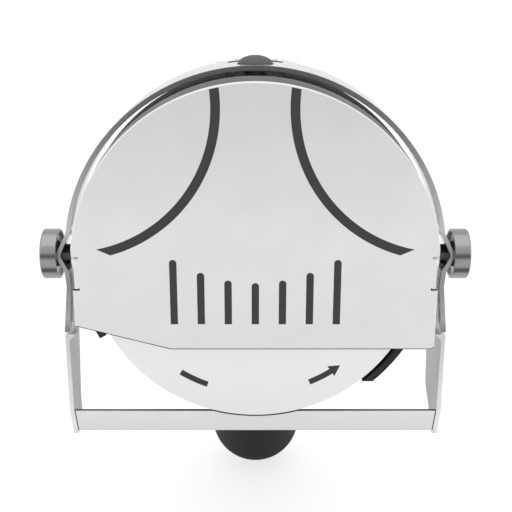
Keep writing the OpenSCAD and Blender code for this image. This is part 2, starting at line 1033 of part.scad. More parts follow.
module motor_can() {
    nose_s = motor_seat_s + motor_bearing_w;
    color("gray")
        difference() {
            union() {
                handle_rod(can_s, can_end - can_s, can_r);
                handle_rod(nose_s, can_s - nose_s + cut, nose_r);
            }
            handle_rod(can_s + can_front_t, can_end, can_r - can_wall);
            handle_rod(motor_seat_s, can_end, nose_hole_r);
        }
}

module motor_magnets() {
    out = can_r - can_wall;
    color("#303034")
        difference() {
            handle_rod(magnet_s, magnet_len, out);
            handle_rod(magnet_s - cut, magnet_len + 2 * cut, out - magnet_t);
            on_handle(magnet_s - cut)
                translate([-magnet_slot / 2, -can_r, 0])
                    cube([magnet_slot, 2 * can_r, magnet_len + 2 * cut]);
        }
}

module motor_end_bell() {
    color("#454549")
        difference() {
            handle_rod(can_end, end_bell_t, can_r);
            handle_rod(can_end - cut, end_bell_t + 2 * cut, bush_r);
        }
}

module motor_bearings() {
    color("lightgray") {
        difference() {
            handle_rod(motor_seat_s, motor_bearing_w, motor_bearing_r);
            handle_rod(motor_seat_s - cut, motor_bearing_w + 2 * cut, shaft_r + run_fit);
        }
        difference() {
            handle_rod(can_end, end_bell_t, bush_r);
            handle_rod(can_end - cut, end_bell_t + 2 * cut, shaft_r + run_fit);
        }
    }
}

module carbon_brushes() {
    color("#252525")
        difference() {
            on_handle(commutator_s + commutator_len / 2 - brush_w / 2)
                for (side = [-1, 1])
                    translate([side * (commutator_r + brush_out) / 2, 0, brush_w / 2])
                        cube([brush_out - commutator_r, brush_w, brush_w], center = true);
            handle_rod(commutator_s - cut, commutator_len + 2 * cut, commutator_r + slide_fit);
        }
}

module motor_leads() {
    start = can_end + end_bell_t;
    color("firebrick")
        for (x = [-lead_x, lead_x])
            on_handle(start) translate([x, 0, 0]) cylinder(h = switch_s - start, r = lead_r);
}

// Handle

module shell_solid() {
    union() {
        handle_rod(neck_end, shell_end - neck_end, handle_r - collar_step);
        handle_rod(neck_end + collar_len, shell_end - neck_end - collar_len, handle_r);
    }
}

// Tubes for the screws across the handle, open at the outside
module screw_posts() {
    for (s = screw_s)
        on_handle(s)
            translate([-handle_in_r, screw_y, 0])
                rotate([0, 90, 0]) cylinder(h = 2 * handle_in_r, r = post_r);
}

module screw_holes() {
    head_seat = handle_in_r / 2;
    for (s = screw_s)
        on_handle(s)
            translate([0, screw_y, 0])
                rotate([0, 90, 0]) {
                    translate([0, 0, -handle_in_r / 2]) cylinder(h = handle_in_r, r = m3_r + run_fit);
                    translate([0, 0, head_seat]) cylinder(h = handle_r, r = m3_head_r - face_fit);
                }
}

module switch_window() {
    on_handle(button_s - slide_fit)
        translate([-button_w / 2 - slide_fit, -handle_r - cut, 0])
            cube([
                button_w + 2 * slide_fit,
                handle_wall + 4 * cut,
                button_len + switch_travel + 2 * slide_fit
            ]);
}

module handle_half(side) {
    left = side < 0 ? -handle_r : 0;
    difference() {
        intersection() {
            union() {
                difference() {
                    shell_solid();
                    handle_rod(neck_end - cut, shell_end - neck_end + 2 * cut, handle_in_r);
                }
                intersection() {
                    screw_posts();
                    shell_solid();
                }
            }
            span([left, 0, -2 * handle_len], [left + handle_r, 2 * handle_len, handle_len]);
        }
        screw_holes();
        switch_window();
    }
}

module handle_shell_left() {
    color("#303132") handle_half(-1);
}

module handle_shell_right() {
    color("#303132") handle_half(1);
}

module handle_collar() {
    color("#1f1f20")
        difference() {
            handle_rod(neck_end, collar_len, handle_r);
            handle_rod(neck_end - cut, collar_len + 2 * cut, handle_r - collar_step);
        }
}

module handle_end_cap() {
    hollow_r = handle_in_r - handle_wall;
    color("#303132")
        difference() {
            union() {
                handle_rod(shell_end, handle_len - shell_end, handle_r);
                on_handle(handle_len) sphere(handle_r);
                handle_rod(shell_end - cap_lip, cap_lip + cut, handle_in_r - run_fit);
            }
            handle_rod(handle_len - handle_r - cut, handle_r + cut, hollow_r);
            on_handle(handle_len) sphere(hollow_r);
            handle_rod(handle_len, 2 * handle_r, gland_r);
        }
}

module handle_screws() {
    head_seat = handle_in_r / 2;
    color("silver")
        for (s = screw_s)
            on_handle(s)
                translate([0, screw_y, 0])
                    rotate([0, 90, 0])
                        union() {
                            translate([0, 0, head_seat])
                                cylinder(h = m3_head_t, r = m3_head_r - 2 * face_fit);
                            translate([0, 0, -head_seat + cut]) cylinder(h = 2 * head_seat, r = m3_r);
                        }
}

module cord_gland() {
    tip = handle_len + handle_r;
    color("#202021")
        difference() {
            union() {
                handle_rod(tip + gland_lip - gland_len, gland_len, gland_r);
                handle_rod(tip, gland_lip, gland_r + gland_lip);
            }
            handle_rod(tip + gland_lip - gland_len - cut, gland_len + 2 * cut, gland_bore_r);
        }
}

// Switch

module switch_body() {
    color("#1c1c1d")
        on_handle(switch_s)
            translate([-switch_w / 2, -switch_top, 0])
                cube([switch_w, switch_top + switch_drop, switch_len]);
}

module switch_button() {
    slider_y = -switch_top - face_fit - slider_t;
    color("#b02020")
        union() {
            on_handle(button_s)
                translate([-button_w / 2, -handle_r - button_rise, 0])
                    cube([button_w, handle_r + button_rise + slider_y + slider_t, button_len]);
            on_handle(button_s - slider_over)
                translate([-slider_w / 2, slider_y, 0])
                    cube([slider_w, slider_t, button_len + 2 * slider_over]);
        }
}

// Clamp knobs and studs

module pivot_studs() {
    color("#2e2e30")
        both_sides() pivot_rod(stud_in, stud_out - stud_in, stud_r);
}

module stud_spacers() {
    start = leg_out + face_fit;
    color("#2e2e30")
        both_sides()
            difference() {
                pivot_rod(start, spacer_t, stud_r + spacer_wall);
                pivot_rod(start - cut, spacer_t + 2 * cut, stud_r);
            }
}

module knob_washers() {
    color("#161616")
        both_sides()
            difference() {
                pivot_rod(washer_x, washer_t, washer_r);
                pivot_rod(washer_x - cut, washer_t + 2 * cut, stud_r + run_fit);
            }
}

module knob() {
    knob_r = knob_d / 2;
    difference() {
        translate([knob_rim, pivot_y, 0])
            rotate([0, 90, 0])
                rotate_extrude()
                    polygon([
                        [0, knob_skirt], [knob_r - knob_lip, knob_skirt], [knob_r - knob_lip, 0],
                        [knob_r, 0],
                        [knob_r, knob_len - knob_edge], [knob_r - knob_edge, knob_len], [0, knob_len]
                    ]);
        pivot_rod(knob_rim, knob_len - knob_floor, stud_r + run_fit);
        span(
            [knob_end - coin_slot_depth, pivot_y - coin_slot_half, -coin_slot_w / 2],
            [knob_end + cut, pivot_y + coin_slot_half, coin_slot_w / 2]
        );
    }
}

module knob_left() {
    color("silver") mirror([1, 0, 0]) knob();
}

module knob_right() {
    color("silver") knob();
}

// Gauge

module leg_front_outline() {
    knee = leg_low - leg_pull;
    foot = knee - foot_pull;
    polygon([
        [leg_in, tab_eye_r + cut], [leg_out, tab_eye_r + cut], [leg_out, arm_waist],
        [leg_hip, shelf_z], [leg_low, shelf_z], [knee, bar_top], [foot, -leg_drop],
        [foot - sheet_t, -leg_drop], [knee - sheet_t, bar_top],
        [leg_low - sheet_t, shelf_z + leg_hip - leg_low], [leg_hip - sheet_t, shelf_z],
        [leg_in, arm_waist]
    ]);
}

// Side view of a leg: the eye on the stud, then the blade-shaped leg down to the bar
module leg_side_outline(back) {
    translate([pivot_y, 0]) circle(tab_eye_r + cut);
    polygon(concat(
        [
            [pivot_y - tab_eye_r, 0], [leg_brow_y, shelf_z], [hood_y, shelf_z],
            [bar_y, bar_top], [bar_y, -leg_drop]
        ],
        back,
        [[pivot_y + tab_eye_r, 0]]
    ));
}

module gauge_leg(back) {
    difference() {
        intersection() {
            front_extrude(0, 3 * pivot_y) leg_front_outline();
            side_extrude(leg_in - cut, leg_low - leg_in + 2 * cut) leg_side_outline(back);
        }
        pivot_rod(leg_in - cut, arm_out, stud_r + run_fit);
    }
}

module gauge_leg_left() {
    color("lightgray")
        mirror([1, 0, 0]) gauge_leg(leg_back_left);
}

module gauge_leg_right() {
    color("lightgray")
        gauge_leg(leg_back_right);
}

module gauge_bar() {
    color("lightgray")
        front_extrude(bar_y, bar_t)
            difference() {
                polygon([
                    [-bar_half_w, bar_top], [bar_half_w, bar_top],
                    [bar_foot_half_w, bar_top - bar_h], [-bar_foot_half_w, bar_top - bar_h]
                ]);
                circle(blade_r + notch_gap);
            }
}

// Sharpener

module sharpener_button() {
    crown_r = (button_r * button_r + button_dome * button_dome) / (2 * button_dome);
    color("#5a5a5c")
        union() {
            translate([0, button_y, 0])
                intersection() {
                    translate([0, 0, button_foot]) cylinder(h = 2 * hood_r, r = button_r);
                    translate([0, 0, hood_r + button_dome - crown_r])
                        union() {
                            sphere(crown_r);
                            mirror([0, 0, 1]) cylinder(h = crown_r, r = crown_r);
                        }
                }
            translate([0, stem_y, stem_foot]) cylinder(h = button_foot - stem_foot + cut, r = stem_r);
        }
}

module stone_arm() {
    color("silver")
        union() {
            span([-arm_half_w, arm_y, stem_foot - arm_t], [arm_half_w, stem_y + stem_r, stem_foot]);
            span([-arm_half_w, arm_y, stem_foot - cut], [arm_half_w, arm_y + arm_front_t, stone_top]);
        }
}

module sharpening_stone() {
    // Back face of the bevel at height z
    function bevel_back(z) = blade_back - (blade_t - edge_t) * (z - blade_r + bevel_w) / bevel_w;
    foot = blade_r + stone_foot_gap;
    color("#b9a98c")
        side_extrude(-stone_half_w, 2 * stone_half_w)
            polygon([
                [bevel_back(foot - press_travel) + stone_air, foot],
                [arm_y, foot],
                [arm_y, stone_top],
                [bevel_back(stone_top - press_travel) + stone_air, stone_top]
            ]);
}

module sharpener_guide() {
    color("#4a4a4d")
        difference() {
            span([-guide_half_w, guide_y, guide_top - guide_t], [guide_half_w, shroud_back, guide_top]);
            translate([0, stem_y, 0]) cylinder(h = plate_r, r = stem_r + slide_fit);
        }
}

module sharpener_spring() {
    color("silver")
        translate([0, stem_y, guide_top])
            difference() {
                cylinder(h = spring_len, r = stem_r + slide_fit + spring_wall);
                translate([0, 0, -cut]) cylinder(h = spring_len + 2 * cut, r = stem_r + slide_fit);
            }
}

front_plate();
stripe_inlays();
plate_standoffs();
blade_shroud();
blade_hood();
hood_bracket();
bracket_screws();
back_dish();
bearing_tube();
gear_housing();
gear_cover();
cover_screws();
shroud_screws();
spindle_bearings();
shaft_seal();
pivot_studs();
stud_spacers();
knob_washers();
knob_left();
knob_right();
gauge_leg_left();
gauge_leg_right();
gauge_bar();
blade();
blade_screw();
spindle();
bevel_gear();
gear_nut();
bevel_pinion();
motor_shaft();
armature();
commutator();
motor_can();
motor_magnets();
motor_end_bell();
motor_bearings();
carbon_brushes();
motor_leads();
handle_shell_left();
handle_shell_right();
handle_collar();
handle_end_cap();
handle_screws();
cord_gland();
switch_body();
switch_button();
sharpener_button();
stone_arm();
sharpening_stone();
sharpener_guide();
sharpener_spring();
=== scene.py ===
"""Looks of the hand-held round-blade slicer: finishes, small hardware, studio and camera."""

import json
import logging
import math
from dataclasses import dataclass
from enum import Enum
from typing import Any, Callable, ClassVar, Iterable, Optional, Union

import bmesh
import bpy
from mathutils import Matrix, Vector


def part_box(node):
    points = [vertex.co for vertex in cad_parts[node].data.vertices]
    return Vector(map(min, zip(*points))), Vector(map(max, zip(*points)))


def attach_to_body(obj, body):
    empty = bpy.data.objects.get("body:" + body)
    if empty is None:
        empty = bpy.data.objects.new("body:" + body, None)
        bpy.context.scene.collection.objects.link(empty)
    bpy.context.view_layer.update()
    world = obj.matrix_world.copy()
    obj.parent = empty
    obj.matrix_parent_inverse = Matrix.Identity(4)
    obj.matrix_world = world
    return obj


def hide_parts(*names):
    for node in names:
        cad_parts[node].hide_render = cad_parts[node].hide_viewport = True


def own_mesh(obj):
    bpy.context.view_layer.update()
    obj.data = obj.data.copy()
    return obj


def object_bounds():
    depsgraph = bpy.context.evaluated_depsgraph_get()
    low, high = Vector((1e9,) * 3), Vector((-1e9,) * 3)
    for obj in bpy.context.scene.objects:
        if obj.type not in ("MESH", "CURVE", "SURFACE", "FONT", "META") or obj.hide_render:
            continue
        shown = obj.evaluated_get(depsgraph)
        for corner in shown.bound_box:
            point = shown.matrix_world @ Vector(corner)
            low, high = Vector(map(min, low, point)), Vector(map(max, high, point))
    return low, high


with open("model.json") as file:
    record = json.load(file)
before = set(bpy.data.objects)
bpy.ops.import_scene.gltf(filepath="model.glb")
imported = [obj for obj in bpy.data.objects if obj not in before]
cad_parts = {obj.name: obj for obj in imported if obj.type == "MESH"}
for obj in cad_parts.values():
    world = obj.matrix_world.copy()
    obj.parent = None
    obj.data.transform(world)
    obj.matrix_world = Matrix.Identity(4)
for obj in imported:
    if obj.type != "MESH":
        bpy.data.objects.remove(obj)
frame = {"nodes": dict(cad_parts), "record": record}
cad_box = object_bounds()

MM = 0.001
# Name of the face mask that marks where light and shade are painted into the colour.
PAINTED_LIGHT_MARK = "cut_edge"
HANDLE_SLOPE = 51.0
GEAR_APEX_Y = 26.0 * MM
PIVOT = (0.0, 15.3 * MM, 0.0)
WELD = 0.002 * MM
FLAT_ANGLE = math.radians(0.4)
SMOOTH_ANGLE = math.radians(32.0)
FRONTAL = -0.8
SIDES = ("left", "right")
NODE_BODY = {node: body for body, nodes in frame["record"]["behaviour"]["bodies"].items() for node in nodes}

logging.basicConfig(level=logging.INFO, format="%(message)s")
log = logging.getLogger("slicer")

Pair = tuple[float, float]
Triple = tuple[float, float, float]
Colour = Triple
Rgba = tuple[float, float, float, float]
Settings = Optional[dict[str, Any]]
Inputs = Optional[dict[Union[str, int], Any]]
Edge = bmesh.types.BMEdge
Face = bmesh.types.BMFace
Work = bmesh.types.BMesh
Material = bpy.types.Material
Mesh = bpy.types.Mesh
Piece = bpy.types.Object
EdgeTest = Callable[[Edge], bool]
FaceTest = Callable[[Face], bool]


def grey(level: float) -> Colour:
    """A neutral colour of that linear level."""
    return (level, level, level)


def opaque(colour: Colour) -> Rgba:
    """The colour with full alpha, as colour sockets take it."""
    return (*colour, 1.0)


class Signal:
    """One value or colour in a node tree, with arithmetic that adds Math nodes."""

    def __init__(self, graph: "Graph", socket: bpy.types.NodeSocket) -> None:
        """Wraps an output socket of a graph."""
        self.graph = graph
        self.socket = socket

    def math(self, operation: str, first: "Operand", second: "Operand" = 0.0) -> "Signal":
        """Adds one Math node of that operation, with a second operand if it has one."""
        return self.graph.signal("ShaderNodeMath", {"operation": operation}, {0: first, 1: second})

    def __add__(self, other: "Operand") -> "Signal":
        """The sum."""
        return self.math("ADD", self, other)

    def __sub__(self, other: "Operand") -> "Signal":
        """The difference."""
        return self.math("SUBTRACT", self, other)

    def __mul__(self, other: "Operand") -> "Signal":
        """The product."""
        return self.math("MULTIPLY", self, other)

    def __truediv__(self, other: "Operand") -> "Signal":
        """The quotient."""
        return self.math("DIVIDE", self, other)


Operand = Union[Signal, float]


class Graph:
    """A node tree with one way to add a node."""

    def __init__(self, tree: bpy.types.NodeTree) -> None:
        """Wraps the tree that the nodes go into."""
        self.tree = tree

    def node(self, kind: str, settings: Settings = None, inputs: Inputs = None) -> bpy.types.Node:
        """Adds a node.

        Args:
            kind: The node's type.
            settings: Its own properties, set first. "stops" holds a colour ramp's stops.
            inputs: Values or links of its sockets, by name or number.

        Returns:
            The node.
        """
        made = self.tree.nodes.new(kind)
        for key, value in (settings or {}).items():
            if key == "stops":
                self.set_stops(made, value)
            else:
                setattr(made, key, value)
        for key, value in (inputs or {}).items():
            for one in value if isinstance(value, list) else [value]:
                if isinstance(one, Signal):
                    self.tree.links.new(one.socket, made.inputs[key])
                else:
                    made.inputs[key].default_value = one
        return made

    def signal(
        self, kind: str, settings: Settings = None, inputs: Inputs = None, output: Union[str, int] = 0
    ) -> Signal:
        """Adds a node as node() does, and gives the output of that name or number."""
        return Signal(self, self.node(kind, settings, inputs).outputs[output])

    @staticmethod
    def set_stops(ramp: bpy.types.Node, stops: list[tuple[float, Colour]]) -> None:
        """Gives a colour ramp its stops.

        Args:
            ramp: The ramp's node.
            stops: Positions and colours, in order.
        """
        elements = ramp.color_ramp.elements
        while len(elements) < len(stops):
            elements.new(1.0)
        for element, (position, colour) in zip(elements, stops):
            element.position = position
            element.color = opaque(colour)


@dataclass(frozen=True)
class PaintedLight:
    """Painted light and shade on the marked faces of a piece: heights in millimetres with the level of grey
    painted there.
    """

    stops: tuple[Pair, ...]
    roughness: float = 0.4


class Shading(Graph):
    """The node tree of one material, with the patterns that the finishes share."""

    def __init__(self, name: str) -> None:
        """Makes an empty material.

        Args:
            name: The material's name.
        """
        self.material = bpy.data.materials.new(name)
        self.material.use_nodes = True
        self.material.node_tree.nodes.clear()
        super().__init__(self.material.node_tree)
        self.place = self.signal("ShaderNodeTexCoord", output="Object")

    def axes(self) -> tuple[Signal, ...]:
        """The three object coordinates, in metres."""
        split = self.node("ShaderNodeSeparateXYZ", inputs={0: self.place})
        return tuple(Signal(self, output) for output in split.outputs)

    def noise(self, size: float, detail: float = 2.0, stretch: Triple = (1.0, 1.0, 1.0)) -> Signal:
        """Soft noise round a half, in patches of that size in millimetres that lie closer by the stretch."""
        place = self.signal("ShaderNodeMapping", inputs={"Vector": self.place, "Scale": stretch})
        return self.signal(
            "ShaderNodeTexNoise", inputs={"Vector": place, "Scale": 1.0 / (size * MM), "Detail": detail}
        )

    def line_noise(self, along: Signal, size: float, detail: float = 3.0) -> Signal:
        """Noise round a half along one value in metres, such as rings of that width in millimetres."""
        inputs = {"W": along, "Scale": 1.0 / (size * MM), "Detail": detail}
        return self.signal("ShaderNodeTexNoise", {"noise_dimensions": "1D"}, inputs)

    def cells(self, size: float) -> Signal:
        """The distance to the nearest of scattered points, about 1 at most, in cells of that millimetre size."""
        return self.signal("ShaderNodeTexVoronoi", inputs={"Vector": self.place, "Scale": 1.0 / (size * MM)})

    def mix(self, share: Operand, first: Any, second: Any) -> Signal:
        """A colour between two others, with a share of 0 for the first and 1 for the second."""
        settings = {"data_type": "RGBA", "clamp_factor": True}
        return self.signal("ShaderNodeMix", settings, {0: share, 6: first, 7: second}, output=2)

    def bump(self, height: Signal, distance: float) -> Signal:
        """A normal that is bumped by a height from 0 to 1, where 1 stands for that distance in millimetres."""
        inputs = {"Strength": 1.0, "Distance": distance * MM, "Height": height}
        return self.signal("ShaderNodeBump", inputs=inputs)

    def marked(self) -> Signal:
        """1 on the faces that are marked for painted light and shade, and 0 elsewhere."""
        return self.signal("ShaderNodeAttribute", {"attribute_name": PAINTED_LIGHT_MARK}, output="Fac")

    def graded(self, along: Signal, stops: tuple[Pair, ...]) -> Signal:
        """A grey that changes along a value in metres.

        Args:
            along: The value.
            stops: Values in millimetres with the level of grey there, from low to high.

        Returns:
            The colour.
        """
        low, high = stops[0][0] * MM, stops[-1][0] * MM
        marks = [((at * MM - low) / (high - low), grey(level)) for at, level in stops]
        return self.signal("ShaderNodeValToRGB", {"stops": marks}, {"Fac": (along - low) / (high - low)})

    def paint_light_over(self, colour: Signal, cut: PaintedLight) -> Signal:
        """A colour that gives way to the painted light and shade on the marked faces."""
        return self.mix(self.marked(), colour, self.graded(self.axes()[2], cut.stops))

    def close(self, surface: dict[str, Any]) -> Material:
        """Ends the tree in a Principled shader with those values and links."""
        self.node("ShaderNodeOutputMaterial", inputs={0: self.signal("ShaderNodeBsdfPrincipled", inputs=surface)})
        return self.material


class Grain(Enum):
    """How a steel surface was worked."""

    BLASTED = "blasted"
    BRUSHED = "brushed"
    TURNED = "turned"
    POLISHED = "polished"


@dataclass(frozen=True)
class Finish:
    """A finish that makes its material once. The slot has the same name, unless it is shared."""

    made: ClassVar[dict[str, Material]] = {}
    shared: ClassVar[dict[str, str]] = {
        "leg_steel": "gauge_steel", "spring_oxide": "machined_steel", "stud_steel": "blackened_steel",
    }

    name: str
    colour: Colour

    @property
    def slot(self) -> str:
        """The record's slot that it belongs to."""
        return self.shared.get(self.name, self.name)

    def tint(self, share: float) -> Rgba:
        """Its colour, darker or lighter by that share."""
        return opaque(tuple(min(1.0, c * share) for c in self.colour))

    def material(self) -> Material:
        """The material, made at the first call."""
        self.made[self.name] = self.made.get(self.name) or self.paint(Shading(self.name))
        return self.made[self.name]

    def paint(self, shading: Shading) -> Material:
        """Builds the material's nodes in the empty tree."""
        raise NotImplementedError


@dataclass(frozen=True)
class Steel(Finish):
    """Bare metal.

    Attributes:
        size: The size of the grain, in millimetres, as its depth.
        mottle: How much the colour varies.
        axis: The axis that it was brushed along or turned about: 0 for X, 1 for Y, 2 for Z.
        centre: A point on the axis that it was turned about.
        cut: The painted light and shade on its marked faces, or None for all alike.
        painted_shade_fade: Painted shade that darkens it towards the top: heights where it begins to darken and
            is darkest, and the share of its colour left there.
    """

    roughness: float
    grain: Grain
    size: float = 0.35
    depth: float = 0.004
    mottle: float = 0.04
    axis: int = 0
    centre: Triple = (0.0, 0.0, 0.0)
    cut: Optional[PaintedLight] = None
    painted_shade_fade: Optional[Triple] = None

    def pattern(self, shading: Shading) -> Signal:
        """The grain's height.

        Args:
            shading: The tree that the pattern goes into.

        Returns:
            Values round a half.
        """
        if self.grain is Grain.TURNED:
            axes = shading.axes()
            across = [axes[i] - self.centre[i] for i in range(3) if i != self.axis]
            square = across[0] * across[0] + across[1] * across[1]
            rings = shading.line_noise(square.math("SQRT", square), self.size)
            lines = shading.line_noise(axes[self.axis], self.size)
            return rings * 0.5 + lines * 0.5
        if self.grain is Grain.BRUSHED:
            stretch = tuple(0.03 if i == self.axis else 1.0 for i in range(3))
            return shading.noise(self.size, 4.0, stretch)
        return shading.noise(self.size, 3.0)

    def paint(self, shading: Shading) -> Material:
        """Builds the metal.

        Args:
            shading: The empty tree.

        Returns:
            The material.
        """
        height = self.pattern(shading)
        cloud = shading.noise(14.0, 3.0)
        tone = height * 0.6 + cloud * 0.4
        colour = shading.mix((tone - 0.3) * 2.5, self.tint(1.0 - self.mottle), self.tint(1.0 + self.mottle))
        roughness = (height - 0.5) * 0.12 + self.roughness + (cloud - 0.5) * 0.08
        # Painted shade: the colour darkens towards the top.
        if self.painted_shade_fade is not None:
            low, high, share = self.painted_shade_fade
            rise = shading.graded(shading.axes()[2], ((low, 0.0), (high, 0.5)))
            colour = shading.mix(rise, colour, self.tint(2.0 * share - 1.0))
        # Painted light and shade on the marked faces: their colour and roughness.
        if self.cut is not None:
            colour = shading.paint_light_over(colour, self.cut)
            roughness = roughness + shading.marked() * (self.cut.roughness - self.roughness)
        bump = shading.bump(height, self.depth)
        return shading.close({"Base Color": colour, "Metallic": 1.0, "Roughness": roughness, "Normal": bump})


@dataclass(frozen=True)
class Moulded(Finish):
    """Plastic, rubber or paint with a fine skin.

    Attributes:
        size: The size of the skin's texture, in millimetres, as its depth.
        coat: The weight of a clear coat.
        dust: How much the colour varies.
        shine: The level of its reflection.
        cut: The painted light and shade on its marked faces, or None for all alike.
    """

    roughness: float
    size: float = 0.5
    depth: float = 0.012
    coat: float = 0.0
    dust: float = 0.15
    shine: float = 0.5
    cut: Optional[PaintedLight] = None

    def paint(self, shading: Shading) -> Material:
        """Builds the skin.

        Args:
            shading: The empty tree.

        Returns:
            The material.
        """
        pebble = shading.cells(self.size) * 0.6 + shading.noise(self.size * 0.6, 2.0) * 0.4
        cloud = shading.noise(9.0, 4.0)
        tone = (cloud * 0.7 + pebble * 0.3 - 0.25) * 2.0
        colour = shading.mix(tone, self.tint(1.0 - self.dust), self.tint(1.0 + self.dust))
        # Painted light and shade on the marked faces.
        if self.cut is not None:
            colour = shading.paint_light_over(colour, self.cut)
        surface = {
            "Base Color": colour,
            "Specular IOR Level": self.shine,
            "Roughness": (cloud - 0.5) * 0.14 + self.roughness + (pebble - 0.5) * 0.06,
            "Coat Weight": self.coat,
            "Coat Roughness": 0.2,
            "Normal": shading.bump(pebble, self.depth),
        }
        return shading.close(surface)


@dataclass(frozen=True)
class Grit(Finish):
    """Bonded abrasive grains of a size and height in millimetres."""

    size: float = 0.25
    height: float = 0.08

    def paint(self, shading: Shading) -> Material:
        """Builds the stone.

        Args:
            shading: The empty tree.

        Returns:
            The material.
        """
        grains = shading.cells(self.size)
        sparkle = grains.math("GREATER_THAN", grains, 0.75)
        surface = {
            "Base Color": shading.mix(grains * 0.6 + sparkle * 0.4, self.tint(1.0), self.tint(2.2)),
            "Roughness": sparkle * -0.4 + 0.95,
            "Normal": shading.bump(grains, self.height),
        }
        return shading.close(surface)


@dataclass(frozen=True)
class Winding(Finish):
    """Varnished wire laid side by side along the armature, with its pitch and height in millimetres."""

    pitch: float = 0.6
    height: float = 0.15

    def paint(self, shading: Shading) -> Material:
        """Builds the wire.

        Args:
            shading: The empty tree.

        Returns:
            The material.
        """
        across = shading.axes()[0]
        half = self.pitch * MM / 2
        ridge = across.math("PINGPONG", across, half) / half
        cloud = shading.noise(4.0, 3.0)
        surface = {
            # Painted shade: the colour darkens towards the grooves between turns.
            "Base Color": shading.mix(ridge * 0.7 + cloud * 0.3, self.tint(0.4), self.tint(1.0)),
            "Metallic": 0.7,
            "Roughness": cloud * 0.2 + 0.3,
            "Normal": shading.bump(ridge, self.height),
        }
        return shading.close(surface)


# Painted shade: the plate's downward faces along its lower edge and the walls of its slits are painted nearly
# black.
PLATE = Steel(
    "plate_steel", (0.885, 0.87, 0.885), 0.58, Grain.BLASTED, 0.55, 0.01, 0.05,
    # Painted shade: the plate's colour also darkens towards its top.
    cut=PaintedLight(((-30.0, 0.055), (0.0, 0.055)), 0.6), painted_shade_fade=(12.0, 50.0, 0.89),
)
HOOD = Steel(
    "hood_steel", grey(0.72), 0.28, Grain.POLISHED, 2.0, 0.002, 0.01,
    # Painted reflection and shade: the hood's front faces are painted a grey that changes with height.
    cut=PaintedLight((
        (-25.0, 0.20), (-20.0, 0.42), (-9.0, 0.30), (0.0, 0.42), (4.0, 0.36),
        (9.0, 0.62), (25.0, 0.46), (40.0, 0.30), (50.0, 0.23), (59.0, 0.21),
    )),
)
LEG = Steel(
    "leg_steel", grey(0.88), 0.40, Grain.BLASTED, 0.45, 0.006, 0.03,
    # Painted shade: the legs' faces that look towards each other are painted darker.
    cut=PaintedLight(((-60.0, 0.80), (0.0, 0.86)), 0.55),
)
GAUGE = Steel(
    "gauge_steel", (0.935, 0.92, 0.935), 0.50, Grain.BLASTED, 0.55, 0.01, 0.05,
    # Painted shade: the bar's top and its ends at the legs are painted nearly black, a painted dark reflection on
    # top and painted shadow at the joints.
    cut=PaintedLight(((-60.0, 0.10), (-48.0, 0.13)), 0.5),
)
BLADE = Steel("blade_steel", (0.91, 0.895, 0.905), 0.42, Grain.TURNED, 0.5, 0.002, 0.02, 1)
KNOB = Steel(
    "knob_steel", (0.29, 0.284, 0.274), 0.24, Grain.TURNED, 0.2, 0.003, 0.08, 0, PIVOT,
    # Painted light: the knob's faces in the cup towards the plate are painted light, lightest low down, where the
    # cup lies in shade.
    cut=PaintedLight(((-9.0, 0.9), (9.0, 0.6)), 0.5),
)
SCREW = Steel("screw_steel", grey(0.55), 0.3, Grain.BLASTED, 0.2, 0.003, 0.05)
MACHINED = Steel("machined_steel", grey(0.5), 0.32, Grain.BRUSHED, 0.15, 0.003, 0.06)
BRASS = Steel("gear_brass", (0.62, 0.43, 0.16), 0.34, Grain.BLASTED, 0.2, 0.004, 0.08)
IRON = Steel("motor_iron", grey(0.07), 0.6, Grain.BLASTED, 0.3, 0.02, 0.2)
OXIDE = Steel("spring_oxide", grey(0.05), 0.5, Grain.BRUSHED, 0.15, 0.003, 0.06)
BLACKENED = Moulded("blackened_steel", grey(0.022), 0.42, 0.4, 0.004, 0.1)
STUD = Moulded(
    "stud_steel", grey(0.012), 0.45, 0.4, 0.004, shine=0.3,
    # Painted highlight: the front-most faces of the studs and spacers are painted grey.
    cut=PaintedLight(((-8.0, 0.12), (8.0, 0.12))),
)
STRIPE = Moulded("stripe_enamel", grey(0.036), 0.6, 0.3, 0.002)
SHROUD = Moulded(
    "shroud_plastic", grey(0.028), 0.55, 0.5, 0.01, shine=0.3,
    # Painted light and reflection: the shroud's front faces and its upward faces round the plate are painted a
    # grey that changes with height.
    cut=PaintedLight(((10.0, 0.028), (24.0, 0.3), (36.0, 0.45), (48.0, 0.4), (55.0, 0.34))),
)
HOUSING = Moulded("housing_paint", (0.045, 0.046, 0.048), 0.42, 0.8, 0.02, 0.2)
GRIP = Moulded("handle_plastic", grey(0.02), 0.55, 0.45, 0.012, shine=0.05)
RUBBER = Moulded("black_rubber", grey(0.018), 0.72, 0.35, 0.01)
INNER = Moulded("inner_plastic", grey(0.06), 0.5)
LEAD = Moulded("lead_plastic", (0.4, 0.03, 0.03), 0.35, 0.6, 0.004, 0.3)
SWITCH = Moulded("switch_plastic", (0.45, 0.02, 0.016), 0.4, 0.4, 0.01, 0.2)
BUTTON = Moulded("button_plastic", grey(0.11), 0.6, 0.4, 0.01, shine=0.3)
COPPER = Winding("armature_copper", (0.5, 0.18, 0.07))
STONE = Grit("stone_grit", (0.2, 0.19, 0.18))


def finish_nodes(finish: Finish, *nodes: str) -> None:
    """Gives nodes that stay as they are their material.

    Args:
        finish: The finish.
        nodes: The nodes' names.
    """
    for node in nodes:
        mesh = frame["nodes"][node].data
        mesh.materials.clear()
        mesh.materials.append(finish.material())
        log.info("node %s: %s", node, finish.name)


def shade(mesh: Mesh) -> None:
    """Shades a mesh round, except at its edges."""
    mesh.shade_smooth()
    mesh.set_sharp_from_angle(angle=SMOOTH_ANGLE)


def mesh_of(work: Work, name: str, smooth: bool = True) -> Mesh:
    """Turns a working mesh into a plain one.

    Args:
        work: The working mesh, which is freed.
        name: The plain mesh's name.
        smooth: Whether it is shaded round.

    Returns:
        The plain mesh.
    """
    mesh = bpy.data.meshes.new(name)
    work.to_mesh(mesh)
    work.free()
    if smooth:
        shade(mesh)
    return mesh


